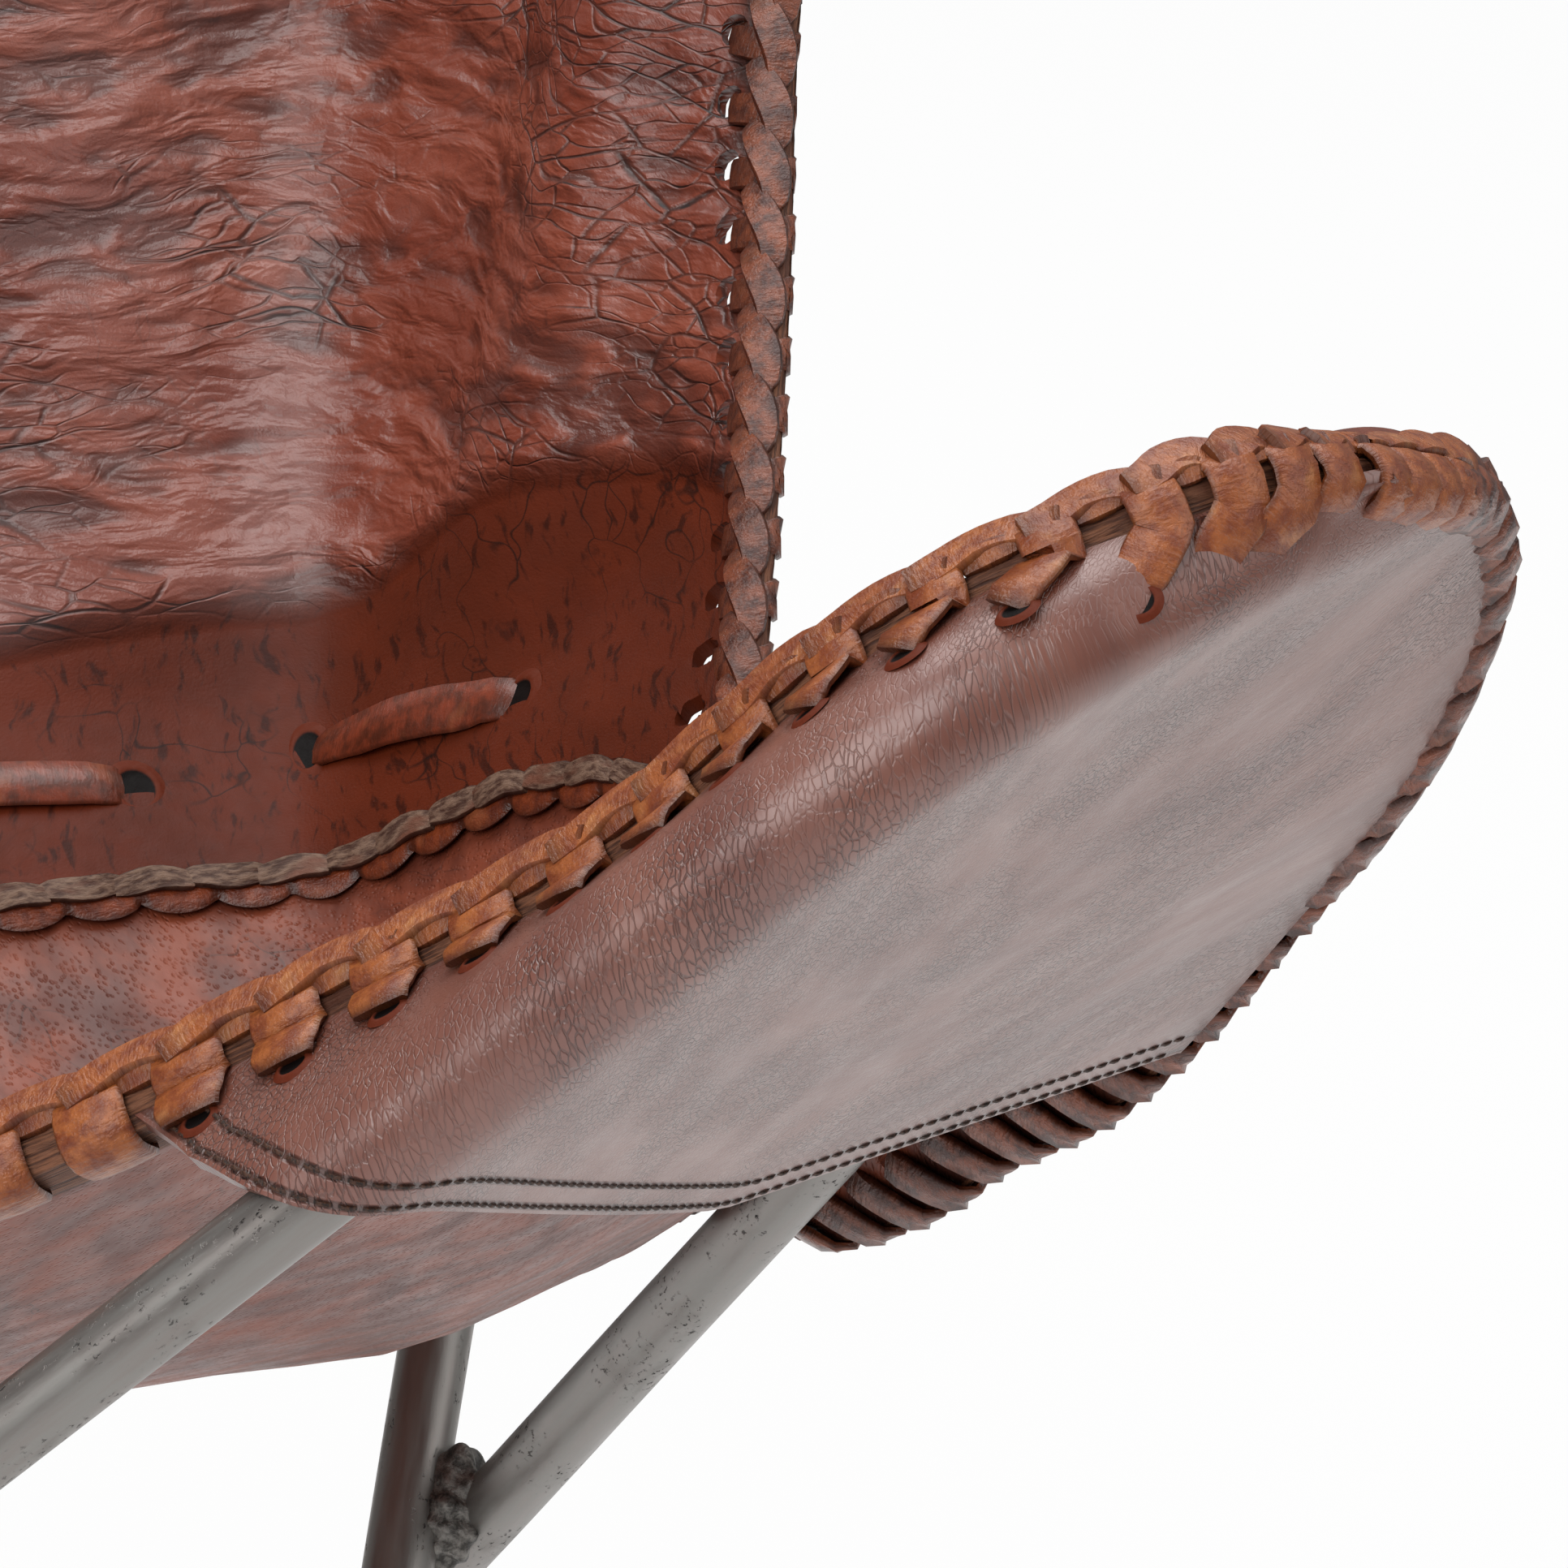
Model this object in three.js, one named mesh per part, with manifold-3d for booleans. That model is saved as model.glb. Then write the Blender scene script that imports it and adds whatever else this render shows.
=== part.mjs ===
// Butterfly sling chair: a welded round-rod frame of two crossed loops, with a laced leather sling hung
// over its four horns. Millimetres, +Z up, the sitter faces -Y, +X is the chair's left-hand sitter side.
// The origin is on the floor under the middle of the chair.
import * as THREE from "three";
import { mergeVertices } from "three/addons/utils/BufferGeometryUtils.js";
import Module from "manifold-3d";

// Steel rod.
const ROD_DIAMETER = 12;
const JOINT_GAP = 0.3; // between pieces that touch
const ROD_SIDES = 10;
const BEND_STEPS = 12;

// Corners of the frame: where the straight legs would meet if the bends were sharp.
const FRONT_HORN_HALF_WIDTH = 480;
const FRONT_HORN_REACH = 450;
const FRONT_HORN_HEIGHT = 625;
const BACK_HORN_HALF_WIDTH = 500;
const BACK_HORN_REACH = 478;
const BACK_HORN_HEIGHT = 1002;
const FRONT_FOOT_HALF_WIDTH = 235;
const FRONT_FOOT_REACH = 213;
const BACK_FOOT_HALF_WIDTH = 200;
const BACK_FOOT_REACH = 285;

// Bend radii at the rod's centre line.
const FRONT_HORN_BEND = 76;
const BACK_HORN_BEND = 60;
const FOOT_BEND = 40;
const SOLE_FLAT = 0.8; // depth of the flat filed under each foot
const DEPTH_SHIFT = -22.277; // moves the corners so that the whole chair is centred front to back

// Welds where the two loops cross.
const CROSSING_GAP = 1;
const WELD_LENGTH = 22;
const WELD_THICKNESS = 10;

// Leather.
const LEATHER = 2.8;
const POCKET_CLEARANCE = 1.6; // between the rod and the leather round it
const PANEL_CLEARANCE = 2.4; // between a pocket's layer and the panel above it
const HEM_REACH = 14; // how far the laced edge stands out past the rod's centre line at a horn
const HEM_DROP = 26; // how far the wing's edge hangs below the rod's plane
const LACE_EDGE = 3.6; // how far the lacing stands out past the cut edge
const LACE_DEPTH = 7; // thickness of the laced edge
const SEAM_LAP = 12; // how far the back panel laps over the seat panel
const SEAM_BRAID_WIDTH = 6;
const SEAM_BRAID_HEIGHT = 3;
const STRIP_WIDTH = 7.5; // running lace across the back's lower band
const STRIP_THICKNESS = 1.6;
const STRIP_ABOVE_SEAM = 17;
const THREAD = 1.1;
const STITCH_INSET = 5; // first row of stitches from the pocket's mouth
const STITCH_ROW_GAP = 6;

// The sling's middle.
const SEAT_EDGE_HEIGHT = 378;
const SEAT_EDGE_REACH = 305;
const BACK_EDGE_HEIGHT = 690;
const BACK_EDGE_REACH = 322;
const BOWL_DEPTH = 255;

const WELD_WIDTH_SHARE = 0.8;
const MERGE_DISTANCE = 1e-3;

const ROD_RADIUS = ROD_DIAMETER / 2;
const v3 = (x, y, z) => new THREE.Vector3(x, y, z);
const mirrored = (p) => v3(-p.x, p.y, p.z);
const between = (a, b, t) => a.clone().lerp(b, t);
const smooth = (t) => THREE.MathUtils.smoothstep(t, 0, 1);

// A bend of the rod: a round arc that is tangent to two straight legs.
class Bend {
  constructor(corner, endA, endB, radius) {
    this.a = endA.clone().sub(corner).normalize();
    this.b = endB.clone().sub(corner).normalize();
    this.radius = radius;
    const half = this.a.angleTo(this.b) / 2;
    const inward = this.a.clone().add(this.b).normalize();
    this.centre = corner.clone().addScaledVector(inward, radius / Math.sin(half));
    this.outward = inward.clone().negate();
    this.along = this.b.clone().sub(this.a).normalize();
    this.normal = this.a.clone().cross(this.b).normalize();
    if (this.normal.z < 0) this.normal.negate();
    this.halfLength = radius * (Math.PI / 2 - half);
  }
  // The way out of the bend at a distance along the rod from the bend's middle.
  out(distance) {
    const angle = THREE.MathUtils.clamp(distance, -this.halfLength, this.halfLength) / this.radius;
    return this.outward.clone().multiplyScalar(Math.cos(angle)).addScaledVector(this.along, Math.sin(angle));
  }
  point(distance) {
    const past = Math.max(0, Math.abs(distance) - this.halfLength);
    return this.centre
      .clone()
      .addScaledVector(this.out(distance), this.radius)
      .addScaledVector(distance > 0 ? this.b : this.a, past);
  }
}

class BendPath extends THREE.Curve {
  constructor(bend, trim) {
    super();
    this.bend = bend;
    this.reach = bend.halfLength - trim;
  }
  getPoint(t, target = v3()) {
    return target.copy(this.bend.point((2 * t - 1) * this.reach));
  }
}

// Corners. The feet are let down until the bend's underside is filed to the floor.
const frontHorn = v3(FRONT_HORN_HALF_WIDTH, DEPTH_SHIFT - FRONT_HORN_REACH, FRONT_HORN_HEIGHT);
const backHorn = v3(BACK_HORN_HALF_WIDTH, DEPTH_SHIFT + BACK_HORN_REACH, BACK_HORN_HEIGHT);
const frontFoot = v3(FRONT_FOOT_HALF_WIDTH, DEPTH_SHIFT - FRONT_FOOT_REACH, 0);
const backFoot = v3(BACK_FOOT_HALF_WIDTH, DEPTH_SHIFT + BACK_FOOT_REACH, 0);

function lowestPoint(bend) {
  const samples = 60;
  let lowest = bend.point(0);
  for (let i = 0; i <= samples; i++) {
    const p = bend.point((2 * (i / samples) - 1) * bend.halfLength);
    if (p.z < lowest.z) lowest = p;
  }
  return lowest;
}

function setDown(foot, endA, endB) {
  const rounds = 6;
  for (let i = 0; i < rounds; i++) {
    const low = lowestPoint(new Bend(foot, endA, endB, FOOT_BEND)).z;
    foot.z += ROD_RADIUS - SOLE_FLAT - low;
  }
}
setDown(frontFoot, mirrored(frontHorn), backHorn);
setDown(backFoot, frontHorn, mirrored(backHorn));

const frontHornBend = new Bend(frontHorn, mirrored(frontFoot), backFoot, FRONT_HORN_BEND);
const backHornBend = new Bend(backHorn, frontFoot, mirrored(backFoot), BACK_HORN_BEND);
const frontFootBend = new Bend(frontFoot, mirrored(frontHorn), backHorn, FOOT_BEND);
const backFootBend = new Bend(backFoot, frontHorn, mirrored(backHorn), FOOT_BEND);

function mirroredBend(corner, endA, endB, radius) {
  return new Bend(mirrored(corner), mirrored(endA), mirrored(endB), radius);
}
const frontHornBendLeft = mirroredBend(frontHorn, mirrored(frontFoot), backFoot, FRONT_HORN_BEND);
const backHornBendLeft = mirroredBend(backHorn, frontFoot, mirrored(backFoot), BACK_HORN_BEND);
const frontFootBendLeft = mirroredBend(frontFoot, mirrored(frontHorn), backHorn, FOOT_BEND);
const backFootBendLeft = mirroredBend(backFoot, frontHorn, mirrored(backHorn), FOOT_BEND);

// Materials.
const steel = new THREE.MeshStandardMaterial({ color: 0x8f8d8a, roughness: 0.45, metalness: 0.9 });
const weldSteel = new THREE.MeshStandardMaterial({ color: 0x77726c, roughness: 0.6, metalness: 0.8 });
const leather = new THREE.MeshStandardMaterial({ color: 0x7a3a2a, roughness: 0.45, metalness: 0 });
const pocketLeather = new THREE.MeshStandardMaterial({ color: 0x7a4636, roughness: 0.5, metalness: 0 });
const laceLeather = new THREE.MeshStandardMaterial({ color: 0xa5673c, roughness: 0.5, metalness: 0 });
const braidLeather = new THREE.MeshStandardMaterial({ color: 0x6e5648, roughness: 0.6, metalness: 0 });
const threadFibre = new THREE.MeshStandardMaterial({ color: 0x3a2418, roughness: 0.8, metalness: 0 });

const chair = new THREE.Group();
const frame = new THREE.Group();
const sling = new THREE.Group();
chair.add(frame, sling);

function addMesh(group, name, geometry, material) {
  const mesh = new THREE.Mesh(geometry, material);
  mesh.name = name;
  group.add(mesh);
  return mesh;
}

const wasm = await Module();
wasm.setup();

function toSolid(geometry) {
  const bare = geometry.clone();
  bare.deleteAttribute("normal");
  bare.deleteAttribute("uv");
  const merged = mergeVertices(bare, MERGE_DISTANCE);
  const vertProperties = merged.attributes.position.array;
  return new wasm.Manifold(
    new wasm.Mesh({ numProp: 3, vertProperties, triVerts: new Uint32Array(merged.index.array) }),
  );
}

function toGeometry(solid) {
  const mesh = solid.getMesh();
  const geometry = new THREE.BufferGeometry();
  geometry.setAttribute("position", new THREE.BufferAttribute(new Float32Array(mesh.vertProperties), 3));
  geometry.setIndex(new THREE.BufferAttribute(new Uint32Array(mesh.triVerts), 1));
  return geometry;
}

const rodSection = (radius) => {
  const shape = new THREE.Shape();
  for (let i = 0; i < ROD_SIDES; i++) {
    const angle = (2 * Math.PI * i) / ROD_SIDES;
    const x = radius * Math.cos(angle);
    const y = radius * Math.sin(angle);
    if (i === 0) shape.moveTo(x, y);
    else shape.lineTo(x, y);
  }
  shape.closePath();
  return shape;
};

function rodAlong(path, steps, radius = ROD_RADIUS) {
  return new THREE.ExtrudeGeometry(rodSection(radius), { steps, bevelEnabled: false, extrudePath: path });
}

// The eight legs. Each is sprung a hair sideways where it passes its neighbour, so that the two rods lie
// one rod's width and a gap apart, and are welded there.
function crossing(startA, endA, startB, endB) {
  const a = endA.clone().sub(startA);
  const b = endB.clone().sub(startB);
  const from = startA.clone().sub(startB);
  const denominator = a.dot(a) * b.dot(b) - a.dot(b) ** 2;
  const shareA = (a.dot(b) * b.dot(from) - b.dot(b) * a.dot(from)) / denominator;
  const shareB = (a.dot(a) * b.dot(from) - a.dot(b) * a.dot(from)) / denominator;
  const onA = startA.clone().addScaledVector(a, shareA);
  const onB = startB.clone().addScaledVector(b, shareB);
  const apart = a.clone().cross(b).normalize();
  if (onB.clone().sub(onA).dot(apart) < 0) apart.negate();
  const middle = between(onA, onB, 0.5);
  const reach = ROD_RADIUS + CROSSING_GAP / 2;
  return {
    middle,
    apart,
    along: [a.normalize(), b.normalize()],
    unsprung: [onA, onB],
    points: [middle.clone().addScaledVector(apart, -reach), middle.clone().addScaledVector(apart, reach)],
  };
}

const frontCrossing = crossing(frontHorn, mirrored(frontFoot), mirrored(frontHorn), frontFoot);
const backCrossing = crossing(backHorn, mirrored(backFoot), mirrored(backHorn), backFoot);
const rightCrossing = crossing(frontHorn, backFoot, backHorn, frontFoot);
const leftCrossing = crossing(mirrored(frontHorn), mirrored(backFoot), mirrored(backHorn), mirrored(frontFoot));

// The end of a bend: side -1 is its leg a, 1 its leg b.
const bendEnd = (bend, side) => bend.point(side * bend.halfLength);

// A closed solid through rings of points. Each ring runs along its upper side and back along its lower.
function loft(rings) {
  const count = rings[0].length;
  const half = count / 2;
  const positions = rings.flat().flatMap((p) => [p.x, p.y, p.z]);
  const index = [];
  const quad = (a, b, c, d) => index.push(a, b, c, a, c, d);
  for (let j = 0; j + 1 < rings.length; j++) {
    for (let i = 0; i < count; i++) {
      const next = (i + 1) % count;
      quad(j * count + i, j * count + next, (j + 1) * count + next, (j + 1) * count + i);
    }
  }
  const last = (rings.length - 1) * count;
  for (let i = 0; i + 1 < half; i++) {
    quad(i, count - 1 - i, count - 2 - i, i + 1);
    quad(last + i, last + i + 1, last + count - 2 - i, last + count - 1 - i);
  }
  const geometry = new THREE.BufferGeometry();
  geometry.setAttribute("position", new THREE.BufferAttribute(new Float32Array(positions), 3));
  geometry.setIndex(index);
  const solid = toSolid(geometry);
  if (solid.volume() > 0) return geometry;
  for (let i = 0; i < index.length; i += 3) [index[i + 1], index[i + 2]] = [index[i + 2], index[i + 1]];
  geometry.setIndex(index);
  return geometry;
}

const SPRING_REACH = 95; // how far from a crossing the rod is straight again
const SPRING_STEP_SHARES = [0, 0.1, 0.22, 0.36, 0.5, 0.64, 0.78, 1];

// Each rod with a hair of room round it, to keep its neighbours clear.
const rodRooms = [];
const ROOM_RADIUS = ROD_RADIUS + JOINT_GAP;

function leg(name, start, cross, index, end) {
  const middle = cross.unsprung[index];
  const spring = cross.points[index].clone().sub(middle);
  const along = end.clone().sub(start).normalize();
  const side = along.clone().cross(cross.apart).normalize();
  const top = side.clone().cross(along);
  const steps = [...SPRING_STEP_SHARES.slice(1).map((share) => -share).reverse(), ...SPRING_STEP_SHARES];
  const sprung = steps.map((share) =>
    middle
      .clone()
      .addScaledVector(along, share * SPRING_REACH)
      .addScaledVector(spring, 1 - smooth(Math.abs(share))),
  );
  const rings = (radius) =>
    [start, ...sprung, end].map((centre) =>
      Array.from({ length: ROD_SIDES }, (_, i) => {
        const angle = (2 * Math.PI * i) / ROD_SIDES;
        return centre
          .clone()
          .addScaledVector(side, radius * Math.cos(angle))
          .addScaledVector(top, radius * Math.sin(angle));
      }),
    );
  addMesh(frame, name, loft(rings(ROD_RADIUS)), steel);
  rodRooms.push(toSolid(loft(rings(ROOM_RADIUS))));
}

function bendMesh(name, bend) {
  const geometry = rodAlong(new BendPath(bend, JOINT_GAP), BEND_STEPS);
  const top = bend.point(0).z + 2 * bend.radius;
  const span = 4 * bend.radius;
  const above = new THREE.BoxGeometry(span, span, top).translate(bend.point(0).x, bend.point(0).y, top / 2);
  const filed = toSolid(geometry).intersect(toSolid(above));
  addMesh(frame, name, toGeometry(filed), steel);
  rodRooms.push(toSolid(rodAlong(new BendPath(bend, 0), BEND_STEPS, ROOM_RADIUS)));
}

bendMesh("front_horn_bend_right", frontHornBend);
bendMesh("front_horn_bend_left", frontHornBendLeft);
bendMesh("back_horn_bend_right", backHornBend);
bendMesh("back_horn_bend_left", backHornBendLeft);
bendMesh("front_foot_bend_right", frontFootBend);
bendMesh("front_foot_bend_left", frontFootBendLeft);
bendMesh("back_foot_bend_right", backFootBend);
bendMesh("back_foot_bend_left", backFootBendLeft);

leg("front_rod_right", bendEnd(frontHornBend, -1), frontCrossing, 0, bendEnd(frontFootBendLeft, -1));
leg("front_rod_left", bendEnd(frontHornBendLeft, -1), frontCrossing, 1, bendEnd(frontFootBend, -1));
leg("back_rod_right", bendEnd(backHornBend, 1), backCrossing, 0, bendEnd(backFootBendLeft, 1));
leg("back_rod_left", bendEnd(backHornBendLeft, 1), backCrossing, 1, bendEnd(backFootBend, 1));
leg("right_rod_front_horn", bendEnd(frontHornBend, 1), rightCrossing, 0, bendEnd(backFootBend, -1));
leg("right_rod_back_horn", bendEnd(backHornBend, -1), rightCrossing, 1, bendEnd(frontFootBend, 1));
leg("left_rod_front_horn", bendEnd(frontHornBendLeft, 1), leftCrossing, 0, bendEnd(backFootBendLeft, -1));
leg("left_rod_back_horn", bendEnd(backHornBendLeft, -1), leftCrossing, 1, bendEnd(frontFootBendLeft, 1));

// A lump of weld between two crossed rods: an egg, less the rods and a hair round them.
function weld(name, cross) {
  const across = cross.along[0].clone().add(cross.along[1]).normalize();
  const side = cross.apart.clone().cross(across).normalize();
  const segments = 16;
  const rings = 10;
  const egg = new THREE.SphereGeometry(0.5, segments, rings);
  egg.scale(WELD_LENGTH, WELD_LENGTH * WELD_WIDTH_SHARE, WELD_THICKNESS);
  egg.applyMatrix4(new THREE.Matrix4().makeBasis(across, side, cross.apart).setPosition(cross.middle));
  let lump = toSolid(egg);
  for (const room of rodRooms) lump = lump.subtract(room);
  addMesh(frame, name, toGeometry(lump), weldSteel);
}

weld("front_crossing_weld", frontCrossing);
weld("back_crossing_weld", backCrossing);
weld("right_crossing_weld", rightCrossing);
weld("left_crossing_weld", leftCrossing);

// The sling's edges, right half. At a horn a point is [station, out, up]: the station counts half bends
// along the rod from the bend's middle, out is a share of HEM_REACH away from the rod, and up is a share
// of HEM_DROP above the plane of the bend.
const FRONT_EDGE_HORN_SHARES = [
  [-1.6, -1.15, 1.08],
  [-1.19, -1.07, 0.77],
  [-0.7, -0.57, 0.65],
  [-0.37, 0.29, 0.42],
  [-0.13, 0.85, 0.23],
];
const FRONT_TIP_SHARES = [0.12, 0.82, 0];
const SIDE_EDGE_FRONT_SHARES = [
  [0.35, 0.8, -0.2],
  [0.64, 0.86, -0.31],
  [0.92, 1.05, -0.54],
  [1.32, 1, -0.88],
  [1.85, 1, -0.96],
  [2.42, 1, -1],
  [2.7, 1, -0.92],
  [3, 1.05, -0.7],
  [3.39, 1, -0.5],
  [3.66, 1, -0.12],
];
const SIDE_EDGE_BACK_SHARES = [
  [-5.3, 2, 0.12],
  [-3.83, 1.64, 0.04],
  [-2.16, 1, -0.08],
  [-1.5, 0.95, -0.04],
  [-1, 0.9, 0],
  [-0.66, 0.88, 0],
  [-0.33, 0.86, 0],
];
const BACK_TIP_SHARES = [0, 0.85, 0];
const TOP_EDGE_HORN_SHARES = [
  [0.33, 0.84, 0.01],
  [0.66, 0.82, 0.04],
  [1, 0.8, 0.1],
  [1.5, 0.6, 0.28],
  [2, 0.3, 0.5],
];
// Away from the horns a point is a share of the front or the back horn's corner.
const FRONT_EDGE_MIDDLE_SHARES = [
  [0.229, 0.704, 0.626],
  [0.458, 0.751, 0.691],
];
const SIDE_EDGE_MIDDLE_SHARES = [
  [0.726, -0.105, 0.352],
  [0.73, -0.042, 0.389],
  [0.742, 0.031, 0.417],
  [0.754, 0.105, 0.443],
  [0.768, 0.199, 0.48],
];
const TOP_EDGE_MIDDLE_SHARES = [
  [0.5, 0.735, 0.745],
  [0.25, 0.69, 0.7],
];

function hornPoint(bend, [station, out, up]) {
  const distance = station * bend.halfLength;
  return bend
    .point(distance)
    .addScaledVector(bend.out(distance), out * HEM_REACH)
    .addScaledVector(bend.normal, up * HEM_DROP);
}
const frontShare = ([x, y, z]) =>
  v3(x * FRONT_HORN_HALF_WIDTH, DEPTH_SHIFT - y * FRONT_HORN_REACH, z * FRONT_HORN_HEIGHT);
const backShare = ([x, y, z]) =>
  v3(x * BACK_HORN_HALF_WIDTH, DEPTH_SHIFT + y * BACK_HORN_REACH, z * BACK_HORN_HEIGHT);
const smoothThrough = (points) => new THREE.CatmullRomCurve3(points, false, "centripetal");

const frontTip = hornPoint(frontHornBend, FRONT_TIP_SHARES);
const backTip = hornPoint(backHornBend, BACK_TIP_SHARES);
const frontEdge = smoothThrough([
  v3(0, DEPTH_SHIFT - SEAT_EDGE_REACH, SEAT_EDGE_HEIGHT),
  ...FRONT_EDGE_MIDDLE_SHARES.map(frontShare),
  ...FRONT_EDGE_HORN_SHARES.map((shares) => hornPoint(frontHornBend, shares)),
  frontTip,
]);
const sideEdge = smoothThrough([
  frontTip,
  ...SIDE_EDGE_FRONT_SHARES.map((shares) => hornPoint(frontHornBend, shares)),
  ...SIDE_EDGE_MIDDLE_SHARES.map(backShare),
  ...SIDE_EDGE_BACK_SHARES.map((shares) => hornPoint(backHornBend, shares)),
  backTip,
]);
const topEdge = smoothThrough([
  v3(0, DEPTH_SHIFT + BACK_EDGE_REACH, BACK_EDGE_HEIGHT),
  ...TOP_EDGE_MIDDLE_SHARES.toReversed().map(backShare),
  ...TOP_EDGE_HORN_SHARES.toReversed().map((shares) => hornPoint(backHornBend, shares)),
  backTip,
]);

// The leather over a rod: it lies on the rod's top and hangs from its outer side to the laced edge.
const WRAP_RADIUS = ROD_RADIUS + LEATHER / 2 + POCKET_CLEARANCE;
const LIFT_FADE_SHARE = 3;
const LIFT_FADE = LIFT_FADE_SHARE * HEM_REACH;

// Where a point is from the rod of a bend: out in the bend's plane, up above the plane.
function place(bend, point) {
  const fromCentre = point.clone().sub(bend.centre);
  const up = fromCentre.dot(bend.normal);
  const flat = fromCentre.addScaledVector(bend.normal, -up);
  const side = flat.dot(bend.along) > 0 ? 1 : -1;
  const start = bendEnd(bend, side).sub(bend.centre);
  const past = flat.clone().sub(start).dot(side > 0 ? bend.b : bend.a);
  const wayOut = start.clone().normalize();
  const outOfLeg = flat.clone().sub(start).dot(wayOut);
  return { side, up, out: past > 0 ? outOfLeg : flat.length() - bend.radius };
}

// The least height of the leather's middle over the rod's plane, for an edge that hangs outside the rod.
function lidHeight(out, up, edge) {
  if (out <= 0) {
    const hold = 1 - smooth(-out / LIFT_FADE);
    return up + hold * Math.max(0, WRAP_RADIUS - up);
  }
  const reach = Math.hypot(edge.out, edge.up);
  if (edge.out <= 0 || reach <= WRAP_RADIUS) return Math.max(up, WRAP_RADIUS);
  const turn = Math.atan2(edge.out, edge.up) - Math.acos(WRAP_RADIUS / reach);
  const leaveOut = WRAP_RADIUS * Math.sin(turn);
  const leaveUp = WRAP_RADIUS * Math.cos(turn);
  if (turn > 0 && out < leaveOut) return Math.max(up, Math.sqrt(WRAP_RADIUS ** 2 - out ** 2));
  if (out >= edge.out) return up;
  const share = (out - leaveOut) / (edge.out - leaveOut);
  return Math.max(up, leaveUp + share * (edge.up - leaveUp));
}

// A point of the sling: across runs -1 to 1 from the left edge to the right, along 0 to 1 from the
// front edge to the top edge.
const EDGE_POWER = 4;
const BOWL_POWER = 6;

function slingPoint(across, along) {
  const side = Math.min(1, Math.abs(across));
  const v = THREE.MathUtils.clamp(along, 0, 1);
  const frontPoint = frontEdge.getPointAt(side);
  const topPoint = topEdge.getPointAt(side);
  const chord = between(frontPoint, topPoint, v);
  const edgePoint = sideEdge.getPointAt(v);
  const sag = edgePoint.clone().sub(between(frontTip, backTip, v));
  const point = chord.addScaledVector(sag, side ** EDGE_POWER);
  point.z -= BOWL_DEPTH * (1 - side ** BOWL_POWER) * Math.sin(Math.PI * v);
  const front = place(frontHornBend, point);
  const frontNear = place(frontHornBend, front.side > 0 ? edgePoint : frontPoint);
  point.addScaledVector(frontHornBend.normal, lidHeight(front.out, front.up, frontNear) - front.up);
  const back = place(backHornBend, point);
  const backNear = place(backHornBend, back.side > 0 ? topPoint : edgePoint);
  point.addScaledVector(backHornBend.normal, lidHeight(back.out, back.up, backNear) - back.up);
  return across < 0 ? mirrored(point) : point;
}

const NUDGE_SHARE = 0.004;
const TIP_FADE_SHARE = 4;
const TIP_FADE = TIP_FADE_SHARE * HEM_REACH;
function slingNormal(across, along) {
  const a = THREE.MathUtils.clamp(across, NUDGE_SHARE - 1, 1 - NUDGE_SHARE);
  const v = THREE.MathUtils.clamp(along, NUDGE_SHARE, 1 - NUDGE_SHARE);
  const alongX = slingPoint(a + NUDGE_SHARE, v).sub(slingPoint(a - NUDGE_SHARE, v));
  const alongY = slingPoint(a, v + NUDGE_SHARE).sub(slingPoint(a, v - NUDGE_SHARE));
  const normal = alongX.cross(alongY).normalize();
  const point = slingPoint(Math.abs(across), along);
  for (const [bend, tip] of [[frontHornBend, frontTip], [backHornBend, backTip]]) {
    const hold = 1 - smooth(point.distanceTo(tip) / TIP_FADE);
    normal.lerp(across < 0 ? mirrored(bend.normal) : bend.normal, hold);
  }
  return normal.normalize();
}

// A sheet of leather over rows of points, with its thickness half to each side.
function sheet(rows, normals) {
  const offset = (j, i, side) =>
    rows[j][i].clone().addScaledVector(normals[j][i], (side * LEATHER) / 2);
  return loft(
    rows.map((row, j) => [
      ...row.map((_, i) => offset(j, i, 1)),
      ...row.map((_, i) => offset(j, i, -1)).reverse(),
    ]),
  );
}

// A bar along points, width across and height along the normals.
function bar(points, normals, width, height) {
  const rings = points.map((point, i) => {
    const before = points[Math.max(0, i - 1)];
    const after = points[Math.min(points.length - 1, i + 1)];
    const side = after.clone().sub(before).cross(normals[i]).normalize();
    const corner = (a, b) =>
      point.clone().addScaledVector(side, (a * width) / 2).addScaledVector(normals[i], (b * height) / 2);
    return [corner(-1, 1), corner(1, 1), corner(1, -1), corner(-1, -1)];
  });
  return loft(rings);
}

const HALF_ACROSS_SHARES = [
  0, 0.12, 0.24, 0.36, 0.47, 0.56, 0.64, 0.71, 0.77, 0.82, 0.855, 0.88, 0.9, 0.917, 0.933, 0.947, 0.96,
  0.972, 0.982, 0.991, 1,
];
const ACROSS_SHARES = [...HALF_ACROSS_SHARES.slice(1).map((share) => -share).reverse(), ...HALF_ACROSS_SHARES];

// The seam between seat and back, as a share of the way along the sling.
const SEAM_MIDDLE_SHARE = 0.565;
const SEAM_RISE_SHARE = 0.125;
const seamShare = (across) => SEAM_MIDDLE_SHARE - SEAM_RISE_SHARE * across ** 2;
const LAP_SHARE = SEAM_LAP / sideEdge.getLength();

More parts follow.
